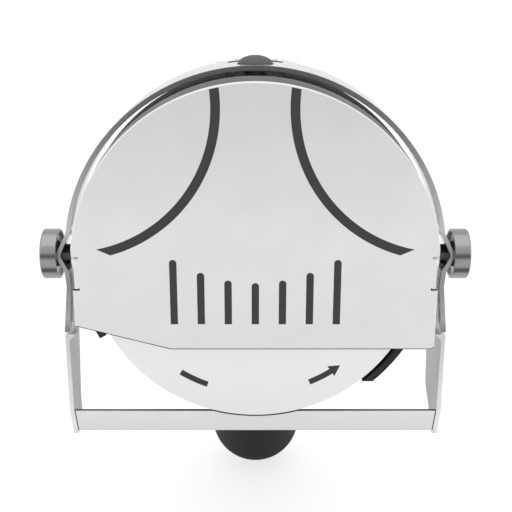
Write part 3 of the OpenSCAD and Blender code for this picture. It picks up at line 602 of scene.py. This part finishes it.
def new_piece(name: str, mesh: Mesh, finish: Finish) -> Piece:
    """Adds a piece at the origin.

    Args:
        name: The piece's name.
        mesh: Its mesh, in the frame.
        finish: Its finish.

    Returns:
        The piece.
    """
    mesh.materials.clear()
    mesh.materials.append(finish.material())
    piece = bpy.data.objects.new(name, mesh)
    bpy.context.scene.collection.objects.link(piece)
    return piece


def settle(piece: Piece) -> None:
    """Turns a piece's modifiers into its plain mesh.

    Args:
        piece: The piece.
    """
    graph = bpy.context.evaluated_depsgraph_get()
    graph.update()
    old = piece.data
    mesh = bpy.data.meshes.new_from_object(piece.evaluated_get(graph), depsgraph=graph)
    piece.modifiers.clear()
    piece.data = mesh
    mesh.name = piece.name
    bpy.data.meshes.remove(old)


def attach(piece: Piece, node: str, stands: bool = True) -> None:
    """Hangs a finished piece on the body of a node.

    Args:
        piece: The piece.
        node: The node.
        stands: Whether the piece stands for the node.
    """
    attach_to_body(piece, NODE_BODY[node])
    if stands:
        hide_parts(node)
    log.info("piece %s on %s, %d faces", piece.name, NODE_BODY[node], len(piece.data.polygons))


@dataclass(frozen=True)
class Rounding:
    """How a piece's edges are broken, from the least angle of an edge in degrees."""

    width: float
    segments: int = 2
    angle: float = 50.0


def turn_normals(mesh: Mesh) -> None:
    """Gives the sloping faces of a mesh the normals of a cone about the blade axis.

    Args:
        mesh: The mesh, in the frame.
    """
    least_slope, least_true = 0.1, 0.99
    normals = []
    for face in mesh.polygons:
        spoke = Vector((face.center.x, 0.0, face.center.z)).normalized()
        along, out = face.normal.y, face.normal.dot(spoke)
        conical = abs(along) > least_slope and math.hypot(along, out) > least_true
        for corner in face.loop_indices:
            normal = mesh.corner_normals[corner].vector.copy()
            if conical:
                place = mesh.vertices[mesh.loops[corner].vertex_index].co
                normal = Vector((place.x, 0.0, place.z)).normalized() * out
                normal.y = along
            normals.append(normal.normalized())
    mesh.normals_split_custom_set(normals)


def rounded(
    node: str, finish: Finish, rounding: Rounding,
    test: Optional[EdgeTest] = None, cut: Optional[FaceTest] = None, turned: bool = False,
) -> None:
    """Adds a copy of a node with its sharp edges broken, which stands for the node.

    Args:
        node: The node's name.
        finish: Its finish.
        rounding: How the edges are broken.
        test: Says which of the sharp edges are broken, or None for all.
        cut: Says which faces are marked for painted light and shade, or None for no face.
        turned: Whether its sloping faces are turned about the blade axis.
    """
    work = bmesh.new()
    work.from_mesh(frame["nodes"][node].data)
    bmesh.ops.remove_doubles(work, verts=work.verts, dist=WELD)
    bmesh.ops.dissolve_limit(
        work, angle_limit=FLAT_ANGLE, verts=work.verts, edges=work.edges, use_dissolve_boundaries=False
    )
    least = math.radians(rounding.angle)
    sharp = [
        edge for edge in work.edges
        if len(edge.link_faces) == 2 and edge.calc_face_angle(0.0) > least and (test is None or test(edge))
    ]
    bmesh.ops.bevel(
        work, geom=sharp, offset=rounding.width, offset_type="OFFSET", segments=rounding.segments,
        profile=0.5, affect="EDGES", clamp_overlap=True,
    )
    # Marks the faces that get painted light and shade.
    if cut is not None:
        work.normal_update()
        mark = work.faces.layers.float.new(PAINTED_LIGHT_MARK)
        for face in work.faces:
            face[mark] = float(cut(face))
    mesh = mesh_of(work, node + "_finished")
    piece = new_piece(node + "_finished", mesh, finish)
    if turned:
        turn_normals(mesh)
    else:
        normals = piece.modifiers.new("even_normals", "WEIGHTED_NORMAL")
        normals.keep_sharp = True
        settle(piece)
    attach(piece, node)


def lathe(work: Work, centre: Vector, profile: list[Pair], sides: int = 72) -> None:
    """Adds a solid of revolution about an upright axis.

    Args:
        work: The mesh that it goes into.
        centre: A point on the axis.
        profile: Radii and heights, from the axis and back to it.
        sides: The number of steps round the axis.
    """
    ring = [work.verts.new((centre.x + radius, centre.y, height)) for radius, height in profile]
    line = [work.edges.new(pair) for pair in zip(ring, ring[1:])]
    bmesh.ops.spin(
        work, geom=ring + line, cent=centre, axis=(0.0, 0.0, 1.0), angle=2.0 * math.pi, steps=sides,
        use_merge=True,
    )


class Recipe(Graph):
    """A Geometry Nodes tree with named inputs that ends in plain faces of one material."""

    def __init__(self, name: str, *sizes: str, vectors: tuple[str, ...] = ()) -> None:
        """Makes the tree and its inputs.

        Args:
            name: The tree's name.
            sizes: Names of the inputs that take a number.
            vectors: Names of the inputs that take a vector.
        """
        super().__init__(bpy.data.node_groups.new(name, "GeometryNodeTree"))
        face = self.tree.interface
        face.new_socket(name="Geometry", in_out="OUTPUT", socket_type="NodeSocketGeometry")
        kinds = {"Geometry": "Geometry", **dict.fromkeys(sizes, "Float"), **dict.fromkeys(vectors, "Vector")}
        for size, kind in {**kinds, "Material": "Material"}.items():
            face.new_socket(name=size, in_out="INPUT", socket_type="NodeSocket" + kind)
        self.group = self.node("NodeGroupInput")

    def given(self, name: str) -> Signal:
        """One of the tree's inputs."""
        return Signal(self, self.group.outputs[name])

    def vector(self, x: Operand = 0.0, y: Operand = 0.0, z: Operand = 0.0) -> Signal:
        """A vector of three values."""
        return self.signal("ShaderNodeCombineXYZ", inputs={0: x, 1: y, 2: z})

    def bar(self, low: Operand, high: Operand, height: Operand, foot: Operand, sides: int = 40) -> Signal:
        """A bar with a low and a high radius, straight or tapered, that stands up from its foot."""
        made = self.signal(
            "GeometryNodeMeshCone", None,
            {"Vertices": sides, "Radius Bottom": low, "Radius Top": high, "Depth": height}, "Mesh",
        )
        return self.signal("GeometryNodeTransform", None, {"Geometry": made, "Translation": self.vector(z=foot)})

    def wire(self, line: Signal, radius: Signal, sides: int) -> Signal:
        """A round wire along a line, of that radius and number of sides."""
        ring = self.signal("GeometryNodeCurvePrimitiveCircle", None, {"Resolution": sides, "Radius": radius})
        return self.signal(
            "GeometryNodeCurveToMesh", None, {"Curve": line, "Profile Curve": ring, "Fill Caps": True}
        )

    def close(self, part: Signal, **turned: Signal) -> None:
        """Ends the tree.

        Args:
            part: What the tree sets on each point.
            turned: The part's Rotation, if it has one.
        """
        inputs = {"Points": self.given("Geometry"), "Instance": part, **turned}
        many = self.signal("GeometryNodeInstanceOnPoints", inputs=inputs)
        plain = self.signal("GeometryNodeRealizeInstances", inputs={0: many})
        inputs = {"Geometry": plain, "Material": self.given("Material")}
        self.node("NodeGroupOutput", inputs={0: self.signal("GeometryNodeSetMaterial", inputs=inputs)})

    def grow(self, name: str, points: Iterable[Vector], finish: Finish, sizes: dict[str, Any]) -> Piece:
        """Runs the tree on points and keeps the plain mesh.

        Args:
            name: The piece's name.
            points: The places that the tree works on.
            finish: The piece's finish.
            sizes: Values of the named inputs.

        Returns:
            The piece.
        """
        mesh = bpy.data.meshes.new(name)
        mesh.from_pydata([tuple(p) for p in points], [], [])
        piece = new_piece(name, mesh, finish)
        modifier = piece.modifiers.new(name, "NODES")
        modifier.node_group = self.tree
        items = self.tree.interface.items_tree
        keys = {item.name: item.identifier for item in items if item.in_out == "INPUT"}
        for size, value in {**sizes, "Material": finish.material()}.items():
            modifier[keys[size]] = value
        settle(piece)
        shade(piece.data)
        return piece


def screw_recipe() -> Recipe:
    """Makes the tree that sets a socket-head screw on each point.

    Returns:
        The tree.
    """
    barrel_share, crown_share, sink_share, socket_floor, socket_sides = 0.78, 0.84, 0.2, 0.45, 6
    sizes = ("Head Radius", "Head Height", "Socket Radius", "Shank Radius", "Shank Length")
    recipe = Recipe("socket_screw", *sizes, vectors=("Turn",))
    head_r, head_h, socket_r, shank_r, length = (recipe.given(size) for size in sizes)
    barrel = recipe.bar(head_r, head_r, head_h * barrel_share, 0.0)
    crown = recipe.bar(head_r, head_r * crown_share, head_h * (1.0 - barrel_share), head_h * barrel_share)
    shank = recipe.bar(shank_r, shank_r, length + head_h * sink_share, length * -1.0)
    socket = recipe.bar(socket_r, socket_r, head_h, head_h * socket_floor, socket_sides)
    kind = "GeometryNodeMeshBoolean"
    solid = recipe.signal(kind, {"operation": "UNION", "solver": "EXACT"}, {"Mesh 2": [barrel, crown, shank]})
    parts = {"Mesh 1": solid, "Mesh 2": socket}
    screw = recipe.signal(kind, {"operation": "DIFFERENCE", "solver": "EXACT"}, parts)
    turn = recipe.signal("FunctionNodeEulerToRotation", inputs={0: recipe.given("Turn")})
    recipe.close(screw, Rotation=turn)
    return recipe


def coil_recipe() -> Recipe:
    """Makes the tree that winds a coil spring up from each point.

    Returns:
        The tree.
    """
    steps, sides = 40, 10
    recipe = Recipe("coil_spring", "Turns", "Coil Radius", "Wire Radius", "Rise")
    radius = recipe.given("Coil Radius")
    inputs = {
        "Resolution": steps, "Rotations": recipe.given("Turns"), "Start Radius": radius, "End Radius": radius,
        "Height": recipe.given("Rise"),
    }
    line = recipe.signal("GeometryNodeCurveSpiral", inputs=inputs)
    recipe.close(recipe.wire(line, recipe.given("Wire Radius"), sides))
    return recipe


def rib_recipe() -> Recipe:
    """Makes the tree that lays a round rib across each point.

    Returns:
        The tree.
    """
    sides = 16
    recipe = Recipe("grip_ribs", "Length", "Radius")
    half = recipe.given("Length") * 0.5
    ends = {"Start": recipe.vector(x=half * -1.0), "End": recipe.vector(x=half)}
    line = recipe.signal("GeometryNodeCurvePrimitiveLine", inputs=ends)
    recipe.close(recipe.wire(line, recipe.given("Radius"), sides))
    return recipe


SCREWS, COILS, RIBS = screw_recipe(), coil_recipe(), rib_recipe()


class Facing(Enum):
    """Where the head of a screw looks, as the turn from Z in radians."""

    BACK = (-math.pi / 2, 0.0, 0.0)
    FRONT = (math.pi / 2, 0.0, 0.0)
    RIGHT = (0.0, math.pi / 2, 0.0)


@dataclass(frozen=True)
class ScrewKind:
    """One kind of socket-head screw.

    Attributes:
        length: The shank's length.
        head: Radius and height of the head.
        shank: The shank's radius.
        socket: The socket's share of the head's radius.
    """

    length: float
    facing: Facing
    head: Pair = (2.8 * MM, 2.0 * MM)
    shank: float = 1.5 * MM
    socket: float = 0.52

    def set_in(self, node: str, places: list[Vector]) -> None:
        """Puts detailed screws in the place of a node's plain ones.

        Args:
            node: The node that they stand for.
            places: Where the heads are seated.
        """
        radius, height = self.head
        sizes = {
            "Head Radius": radius, "Head Height": height, "Socket Radius": radius * self.socket,
            "Shank Radius": self.shank, "Shank Length": self.length, "Turn": self.facing.value,
        }
        attach(SCREWS.grow(node + "_finished", places, SCREW, sizes), node)


def ring_places(radius: float, angles: Iterable[float], y: float) -> list[Vector]:
    """Points on a circle round the blade axis, at angles from X towards Z in degrees."""
    turns = [math.radians(angle) for angle in angles]
    return [Vector((radius * math.cos(turn), y, radius * math.sin(turn))) for turn in turns]


@dataclass
class FrontPlate:
    """The plate in front of the blade with its inlaid stripes.

    Attributes:
        radius: The radius of its arch.
        drop: Its reach below the blade axis.
        chamfer: Width and height of the slope at its lower left.
        slit_x: Where the slits beside the tabs begin.
        slit_low: The height down to which their walls are painted dark as shade.
        slack: How far an edge of the outline may lie inside it.
        side_slack: The same at the sides, where the tabs are sunk.
        front_slack: How far behind the front an edge may lie.
        down: The normal's Z below which a face looks down.
        level: The normal's Z above which a slit's wall is level.
    """

    radius: float = 54.55 * MM
    half_width: float = 54.2 * MM
    drop: float = 25.8 * MM
    chamfer: Pair = (28.5 * MM, 7.5 * MM)
    slit_x: float = 51.0 * MM
    slit_low: float = -8.0 * MM
    slack: float = 0.1 * MM
    side_slack: float = 0.7 * MM
    front_slack: float = 0.02 * MM
    down: float = -0.15
    level: float = 0.9
    edge: Rounding = Rounding(0.4 * MM, 3)

    def on_outline(self, edge: Edge) -> bool:
        """Says whether an edge lies on the outline of the front face.

        Args:
            edge: An edge of the plate.

        Returns:
            True for the outline, and False for the stripes' pockets and the back.
        """
        x, _, z = (edge.verts[0].co + edge.verts[1].co) / 2.0
        slope_x = x + self.half_width
        slope_z = -self.drop + self.chamfer[1] * (1.0 - slope_x / self.chamfer[0])
        return max(vert.co.y for vert in edge.verts) <= self.front_slack and (
            math.hypot(x, z) > self.radius - self.slack
            or abs(x) > self.half_width - self.side_slack
            or z < -self.drop + self.slack
            or (slope_x < self.chamfer[0] and z < slope_z + self.slack)
        )

    def gets_painted_shade(self, face: Face) -> bool:
        """Says whether a face gets painted shade: a downward face along the lower edge or the wall of a slit."""
        x, _, z = face.calc_center_median()
        return (z < -self.drop + self.chamfer[1] + MM and face.normal.z < self.down) or (
            abs(x) > self.slit_x and self.slit_low < z < 0.0 and abs(face.normal.z) > self.level
        )

    def dress(self) -> None:
        """Rounds the outline and finishes plate, stripes and standoffs."""
        rounded("front_plate", PLATE, self.edge, self.on_outline, self.gets_painted_shade)
        finish_nodes(STRIPE, "stripe_inlays")
        finish_nodes(SCREW, "plate_standoffs")


@dataclass
class Hood:
    """The sheet hood with its bracket, and the bracket's two screws."""

    edge: Rounding = Rounding(0.18 * MM)
    bracket_edge: Rounding = Rounding(0.3 * MM)
    screw_x: float = 8.0 * MM
    screw_z: float = 42.5 * MM
    screw: ScrewKind = ScrewKind(8.0 * MM, Facing.BACK)

    def dress(self) -> None:
        """Finishes hood and bracket and sets the bracket's screws."""
        # The hood's front faces get painted reflection and shade.
        rounded("blade_hood", HOOD, self.edge, cut=lambda face: face.normal.y < FRONTAL)
        rounded("hood_bracket", HOOD, self.bracket_edge)
        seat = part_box("hood_bracket")[1].y
        places = [Vector((x, seat, self.screw_z)) for x in (-self.screw_x, self.screw_x)]
        self.screw.set_in("bracket_screws", places)


@dataclass
class Gauge:
    """The two legs and the bar that set the slice, and the least normals of their faces with painted shade."""

    leg_edge: Rounding = Rounding(0.18 * MM)
    bar_edge: Rounding = Rounding(0.3 * MM)
    inward: float = 0.6
    upward: float = 0.5
    sideward: float = 0.3

    def looks_in(self, face: Face) -> bool:
        """Says whether a leg's face looks towards the other leg, which gets painted shade."""
        return face.normal.x * face.calc_center_median().x < 0.0 and abs(face.normal.x) > self.inward

    def bar_gets_painted_shade(self, face: Face) -> bool:
        """Says whether a face of the bar lies on its top or at the seam to a leg, which gets painted shade."""
        return face.normal.z > self.upward or abs(face.normal.x) > self.sideward

    def dress(self) -> None:
        """Finishes legs and bar."""
        # The legs' faces that look towards each other get painted shade.
        for side in SIDES:
            rounded("gauge_leg_" + side, LEG, self.leg_edge, cut=self.looks_in)
        # The bar's top and its ends at the legs get painted shade.
        rounded("gauge_bar", GAUGE, self.bar_edge, cut=self.bar_gets_painted_shade)


@dataclass
class Clamps:
    """The clamp knobs with what sits on their studs.

    Attributes:
        cup: How far out the cup reaches, and its radius.
        bright: The normal's Y below which a stud's faces get a painted highlight.
    """

    edge: Rounding = Rounding(0.2 * MM, 3, 30.0)
    stud_edge: Rounding = Rounding(0.1 * MM)
    cup: Pair = (61.8 * MM, 7.2 * MM)
    bright: float = -0.93

    def in_cup(self, face: Face) -> bool:
        """Says whether a face of a knob lies in the cup that looks towards the plate, which gets painted light.
        """
        x, y, z = face.calc_center_median()
        return abs(x) < self.cup[0] and math.hypot(y - PIVOT[1], z - PIVOT[2]) < self.cup[1]

    def dress(self) -> None:
        """Finishes knobs, washers, studs and spacers."""
        # The knobs' cups get painted light.
        for side in SIDES:
            rounded("knob_" + side, KNOB, self.edge, cut=self.in_cup)
        finish_nodes(RUBBER, "knob_washers")
        # The front-most faces of studs and spacers get a painted highlight.
        for node in ("pivot_studs", "stud_spacers"):
            rounded(node, STUD, self.stud_edge, cut=lambda face: face.normal.y < self.bright)


@dataclass
class Blade:
    """The round blade with its printed turning arrow.

    Attributes:
        band: Inner and outer radius of the arrow's shaft.
        tail: First and last angle of the tail, from straight down towards X, in degrees, as in shaft and tip.
        head: Inner and outer radius of the arrow's head.
        film: The print's thickness.
    """

    band: Pair = (41.2 * MM, 43.05 * MM)
    tail: Pair = (-33.3, -20.7)
    shaft: Pair = (23.5, 33.9)
    head: Pair = (40.1 * MM, 44.1 * MM)
    tip: float = 38.6
    film: float = 0.04 * MM
    steps: int = 10

    def arc(self, radius: float, first: float, last: float) -> list[Vector]:
        """Points of an arc on the blade's front, between two angles from straight down in degrees."""
        angles = [first + (last - first) * i / self.steps - 90.0 for i in range(self.steps + 1)]
        return ring_places(radius, angles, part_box("blade")[0].y)

    def arrow(self) -> Mesh:
        """The print as thin closed shapes.

        Returns:
            The mesh.
        """
        inner, outer = self.band
        outlines = [self.arc(inner, *ends) + self.arc(outer, *ends)[::-1] for ends in (self.tail, self.shaft)]
        low, high = self.head
        base = self.shaft[1]
        corners = ((low, base), ((inner + outer) / 2.0, self.tip), (high, base))
        outlines.append([self.arc(radius, angle, angle)[0] for radius, angle in corners])
        work = bmesh.new()
        for outline in outlines:
            back = [work.verts.new(p + Vector((0.0, self.film, 0.0))) for p in outline]
            face = work.faces.new(back)
            grown = bmesh.ops.extrude_face_region(work, geom=[face])
            moved = [v for v in grown["geom"] if isinstance(v, bmesh.types.BMVert)]
            bmesh.ops.translate(work, verts=moved, vec=(0.0, -2.0 * self.film, 0.0))
        bmesh.ops.recalc_face_normals(work, faces=work.faces)
        return mesh_of(work, "turning_arrow", smooth=False)

    def dress(self) -> None:
        """Finishes the blade and what turns with it, and lays the arrow on."""
        finish_nodes(BLADE, "blade")
        finish_nodes(SCREW, "blade_screw", "gear_nut")
        finish_nodes(MACHINED, "spindle")
        finish_nodes(BRASS, "bevel_gear")
        attach(new_piece("turning_arrow", self.arrow(), STRIPE), "blade", stands=False)


@dataclass
class Sharpener:
    """The push-button sharpener under the hood.

    Attributes:
        foot: The spring's lower end.
        height: The spring's height at rest.
        coil: The mean radius of the spring.
        wire: The radius of its wire.
        dome: Radius, foot, rim and top of the button.
        dome_y: The button's place behind the plate.
        stem: Radius and lower end of the stem.
    """

    foot: Triple = (0.0, 15.0 * MM, 51.5 * MM)
    height: float = 4.5 * MM
    travel: float = 2.5 * MM
    coil: float = 3.05 * MM
    wire: float = 0.35 * MM
    turns: float = 2.5
    dome: tuple[float, ...] = (5.2 * MM, 56.0 * MM, 57.6 * MM, 60.3 * MM)
    dome_y: float = 17.0 * MM
    dome_steps: int = 20
    stem: Pair = (2.4 * MM, 47.0 * MM)

    def button(self) -> Mesh:
        """The button's smooth dome on its stem.

        Returns:
            The mesh.
        """
        radius, foot, rim, top = self.dome
        turns = [math.radians(90.0 * i / self.dome_steps) for i in range(self.dome_steps + 1)]
        crown = [(radius * math.cos(t), rim + (top - rim) * math.sin(t)) for t in turns]
        stem_r, stem_foot = self.stem
        work = bmesh.new()
        lathe(work, Vector((0.0, self.dome_y, 0.0)), [(0.0, foot), (radius, foot), *crown])
        lathe(work, Vector(self.foot), [(0.0, stem_foot), (stem_r, stem_foot), (stem_r, foot), (0.0, foot)])
        bmesh.ops.remove_doubles(work, verts=work.verts, dist=WELD)
        bmesh.ops.recalc_face_normals(work, faces=work.faces)
        return mesh_of(work, "sharpener_button_finished")

    def dress(self) -> None:
        """Finishes button, arm and stone and winds the spring."""
        button = new_piece("sharpener_button_finished", self.button(), BUTTON)
        attach(button, "sharpener_button")
        finish_nodes(BLACKENED, "stone_arm")
        finish_nodes(STONE, "sharpening_stone")
        finish_nodes(RUBBER, "sharpener_guide")
        sizes = {
            "Turns": self.turns, "Coil Radius": self.coil, "Wire Radius": self.wire,
            "Rise": self.height - 2.0 * self.wire,
        }
        start = Vector(self.foot) + Vector((0.0, 0.0, self.wire))
        spring = COILS.grow("sharpener_coil", [start], OXIDE, sizes)
        attach(spring, "sharpener_spring")
        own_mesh(spring)


@dataclass
class Drive:
    """The shroud, the gear housing and what turns the blade.

    Attributes:
        cover_ring: Radius and angles of the cover's screws, as in shroud_ring.
        painted_light_radius: The radius outside which the shroud's upward faces get painted light.
    """

    cast_edge: Rounding = Rounding(0.5 * MM, 3)
    shroud_edge: Rounding = Rounding(0.25 * MM)
    cover_ring: tuple[float, tuple[float, ...]] = (17.687 * MM, (90.0, 195.0, 345.0))
    cover_screw: ScrewKind = ScrewKind(8.0 * MM, Facing.BACK)
    shroud_ring: tuple[float, tuple[float, ...]] = (49.5 * MM, (50.0, 130.0, 215.0, 325.0))
    shroud_screw: ScrewKind = ScrewKind(4.0 * MM, Facing.FRONT)
    painted_light_radius: float = 54.0 * MM
    upward: float = 0.3

    def gets_painted_light(self, face: Face) -> bool:
        """Says whether a face of the shroud gets the painted light and reflection round the plate."""
        x, _, z = face.calc_center_median()
        return face.normal.y < FRONTAL or (math.hypot(x, z) > self.painted_light_radius and face.normal.z > self.upward)

    def dress(self) -> None:
        """Finishes the castings, the bearings and the motor."""
        # The shroud's front faces and upward faces round the plate get painted light and reflection.
        rounded("blade_shroud", SHROUD, self.shroud_edge, cut=self.gets_painted_light)
        for node in ("back_dish", "gear_housing", "gear_cover"):
            rounded(node, HOUSING, self.cast_edge, turned=node == "back_dish")
        finish_nodes(MACHINED, "bearing_tube", "spindle_bearings", "bevel_pinion")
        finish_nodes(MACHINED, "motor_bearings", "motor_shaft", "motor_can")
        finish_nodes(RUBBER, "shaft_seal")
        finish_nodes(COPPER, "armature")
        finish_nodes(BRASS, "commutator")
        finish_nodes(IRON, "motor_magnets", "carbon_brushes")
        finish_nodes(INNER, "motor_end_bell")
        finish_nodes(LEAD, "motor_leads")
        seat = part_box("gear_cover")[1].y
        self.cover_screw.set_in("cover_screws", ring_places(*self.cover_ring, seat))
        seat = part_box("shroud_screws")[0].y + self.shroud_screw.head[1]
        self.shroud_screw.set_in("shroud_screws", ring_places(*self.shroud_ring, seat))


@dataclass
class Handle:
    """The grip with its switch and cord inlet.

    Attributes:
        stations: The screws' places down the handle.
        screw_drop: The screws' distance from the handle's axis.
        screw_seat: The heads' distance from the middle plane.
        rib_rise: Distance of the button's top from the handle's axis.
        rib: Length and radius of a rib.
    """

    edge: Rounding = Rounding(0.3 * MM)
    cap_edge: Rounding = Rounding(0.35 * MM)
    button_edge: Rounding = Rounding(0.6 * MM, 3)
    stations: Pair = (102.98 * MM, 115.98 * MM)
    screw_drop: float = 10.5 * MM
    screw_seat: float = 8.25 * MM
    screw: ScrewKind = ScrewKind(15.5 * MM, Facing.RIGHT, (2.4 * MM, 2.0 * MM))
    rib_start: float = 104.0 * MM
    rib_pitch: float = 2.2 * MM
    rib_count: int = 5
    rib_rise: float = 21.5 * MM
    rib: Pair = (7.4 * MM, 0.5 * MM)

    @staticmethod
    def place() -> Matrix:
        """The frame of the handle: Z runs down the handle from the point where the gears meet."""
        slope = Matrix.Rotation(-math.radians(90.0 + HANDLE_SLOPE), 4, "X")
        return Matrix.Translation((0.0, GEAR_APEX_Y, 0.0)) @ slope

    def dress(self) -> None:
        """Finishes the grip, sets its screws and ribs the switch."""
        for side in SIDES:
            rounded("handle_shell_" + side, GRIP, self.edge)
        rounded("handle_end_cap", GRIP, self.cap_edge)
        rounded("handle_collar", RUBBER, self.cap_edge)
        rounded("cord_gland", RUBBER, self.cap_edge)
        rounded("switch_button", SWITCH, self.button_edge)
        finish_nodes(INNER, "switch_body")
        place = self.place()
        places = [place @ Vector((self.screw_seat, self.screw_drop, s)) for s in self.stations]
        self.screw.set_in("handle_screws", places)
        starts = [self.rib_start + i * self.rib_pitch for i in range(self.rib_count)]
        places = [place @ Vector((0.0, -self.rib_rise, s)) for s in starts]
        sizes = {"Length": self.rib[0], "Radius": self.rib[1]}
        attach(RIBS.grow("switch_ribs", places, SWITCH, sizes), "switch_button", stands=False)


@dataclass
class Studio:
    """Floor, light and camera.

    Attributes:
        shown: The rays that show the background as it is.
        lamps: Names, places, sizes and powers of the soft lamps.
        floor_levels: The floor's grey in soft light, and its grey and glow for the rays that show it.
        camera_tilt: The camera's tilt from straight down, in degrees.
        focal: The lens's focal length in millimetres, as the sensor's width.
        front_card: Low and high corner of the dark card in front, seen in reflections only.
        under_card: Low and high corner of the dark card on the floor, in X and Y.
    """

    ambient: float = 0.72
    shown: tuple[str, ...] = ("Is Camera Ray", "Is Glossy Ray", "Is Transmission Ray")
    lamps: tuple[tuple[str, Triple, float, float], ...] = (
        ("top_lamp", (0.0, -0.1, 0.75), 0.9, 1.6),
        ("left_lamp", (-0.7, -0.4, 0.35), 0.6, 0.7),
        ("right_lamp", (0.7, -0.4, 0.35), 0.6, 0.7),
    )
    aim: Triple = (0.0, 0.02, 0.0)
    floor_size: float = 40.0
    floor_gap: float = 0.6 * MM
    floor_levels: Triple = (0.8, 0.42, 0.71)
    camera_place: Triple = (0.0002, -0.2523, 0.08405)
    camera_tilt: float = 72.4
    focal: float = 63.47
    sensor: float = 36.0
    front_card: tuple[Triple, Triple] = ((-1.6, -0.9, -0.12), (1.6, -0.9, 0.224))
    under_card: tuple[Pair, Pair] = ((-0.2, -0.085), (0.2, -0.012))
    card_gap: float = 0.3 * MM
    card_level: float = 0.2

    def seen(self, graph: Graph) -> Signal:
        """1 for the rays that show the background as it is, and 0 for the others."""
        camera, glossy, through = (
            Signal(graph, ray) for ray in graph.node("ShaderNodeLightPath").outputs if ray.name in self.shown
        )
        return camera.math("MINIMUM", camera + glossy + through, 1.0)

    def light_world(self) -> None:
        """Makes the white world."""
        world = bpy.data.worlds.new("white_room")
        bpy.context.scene.world = world
        world.use_nodes = True
        world.node_tree.nodes.clear()
        graph = Graph(world.node_tree)
        strength = self.seen(graph) * (1.0 - self.ambient) + self.ambient
        white = graph.signal("ShaderNodeBackground", inputs={"Color": opaque(grey(1.0)), "Strength": strength})
        graph.node("ShaderNodeOutputWorld", inputs={"Surface": white})

    def set_lamps(self) -> None:
        """Hangs the soft lamps."""
        for name, place, size, power in self.lamps:
            light = bpy.data.lights.new(name, "AREA")
            light.shape = "SQUARE"
            light.size = size
            light.energy = power
            lamp = bpy.data.objects.new(name, light)
            lamp.location = place
            lamp.rotation_euler = (Vector(self.aim) - Vector(place)).to_track_quat("-Z", "Y").to_euler()
            lamp.visible_camera = False
            bpy.context.scene.collection.objects.link(lamp)

    def sheet(self, name: str, low: Triple, high: Triple) -> Piece:
        """A flat rectangle of the studio, level or upright along X.

        Args:
            name: Its name.
            low: Its low corner.
            high: Its high corner.

        Returns:
            The object.
        """
        mesh = bpy.data.meshes.new(name)
        mesh.from_pydata([low, (high[0], *low[1:]), high, (low[0], *high[1:])], [], [(0, 1, 2, 3)])
        made = bpy.data.objects.new(name, mesh)
        bpy.context.scene.collection.objects.link(made)
        return made

    def lay_floor(self) -> float:
        """Lays the pale floor under the object.

        Returns:
            The floor's height.
        """
        height = cad_box[0].z - self.floor_gap
        half = self.floor_size / 2.0
        floor = self.sheet("floor", (-half, -half, height), (half, half, height))
        shading = Shading("pale_floor")
        *levels, strength = self.floor_levels
        soft, shown = (
            shading.signal("ShaderNodeBsdfDiffuse", inputs={"Color": opaque(grey(level))}) for level in levels
        )
        glow = shading.signal("ShaderNodeEmission", inputs={"Color": opaque(grey(1.0)), "Strength": strength})
        bright = shading.signal("ShaderNodeAddShader", inputs={0: shown, 1: glow})
        both = shading.signal("ShaderNodeMixShader", inputs={0: self.seen(shading), 1: soft, 2: bright})
        shading.node("ShaderNodeOutputMaterial", inputs={"Surface": both})
        floor.data.materials.append(shading.material)
        return height

    def hang_cards(self, floor: float) -> None:
        """Sets the dark cards that only reflections show.

        Args:
            floor: The floor's height.
        """
        level = floor + self.card_gap
        front = self.sheet("front_card", *self.front_card)
        under = self.sheet("under_card", *((*corner, level) for corner in self.under_card))
        shading = Shading("dark_card")
        glow = shading.signal("ShaderNodeEmission", inputs={"Color": opaque(grey(self.card_level))})
        shading.node("ShaderNodeOutputMaterial", inputs={"Surface": glow})
        for card in (front, under):
            card.data.materials.append(shading.material)
            for rays in ("camera", "diffuse", "transmission", "volume_scatter", "shadow"):
                setattr(card, "visible_" + rays, False)

    def place_camera(self) -> None:
        """Makes the camera at the photograph's place."""
        lens = bpy.data.cameras.new("camera")
        lens.lens = self.focal
        lens.sensor_width = self.sensor
        lens.clip_start = 10.0 * MM
        camera = bpy.data.objects.new("camera", lens)
        camera.location = self.camera_place
        camera.rotation_euler = (math.radians(self.camera_tilt), 0.0, 0.0)
        bpy.context.scene.collection.objects.link(camera)
        bpy.context.scene.camera = camera

    def build(self) -> None:
        """Makes the whole studio."""
        bpy.context.scene.view_settings.view_transform = "Standard"
        self.light_world()
        self.set_lamps()
        self.hang_cards(self.lay_floor())
        self.place_camera()


def main() -> None:
    """Builds and dresses everything in order."""
    for assembly in (FrontPlate(), Hood(), Gauge(), Clamps(), Blade(), Sharpener(), Drive(), Handle()):
        assembly.dress()
    Studio().build()


if __name__ == "__main__":
    main()
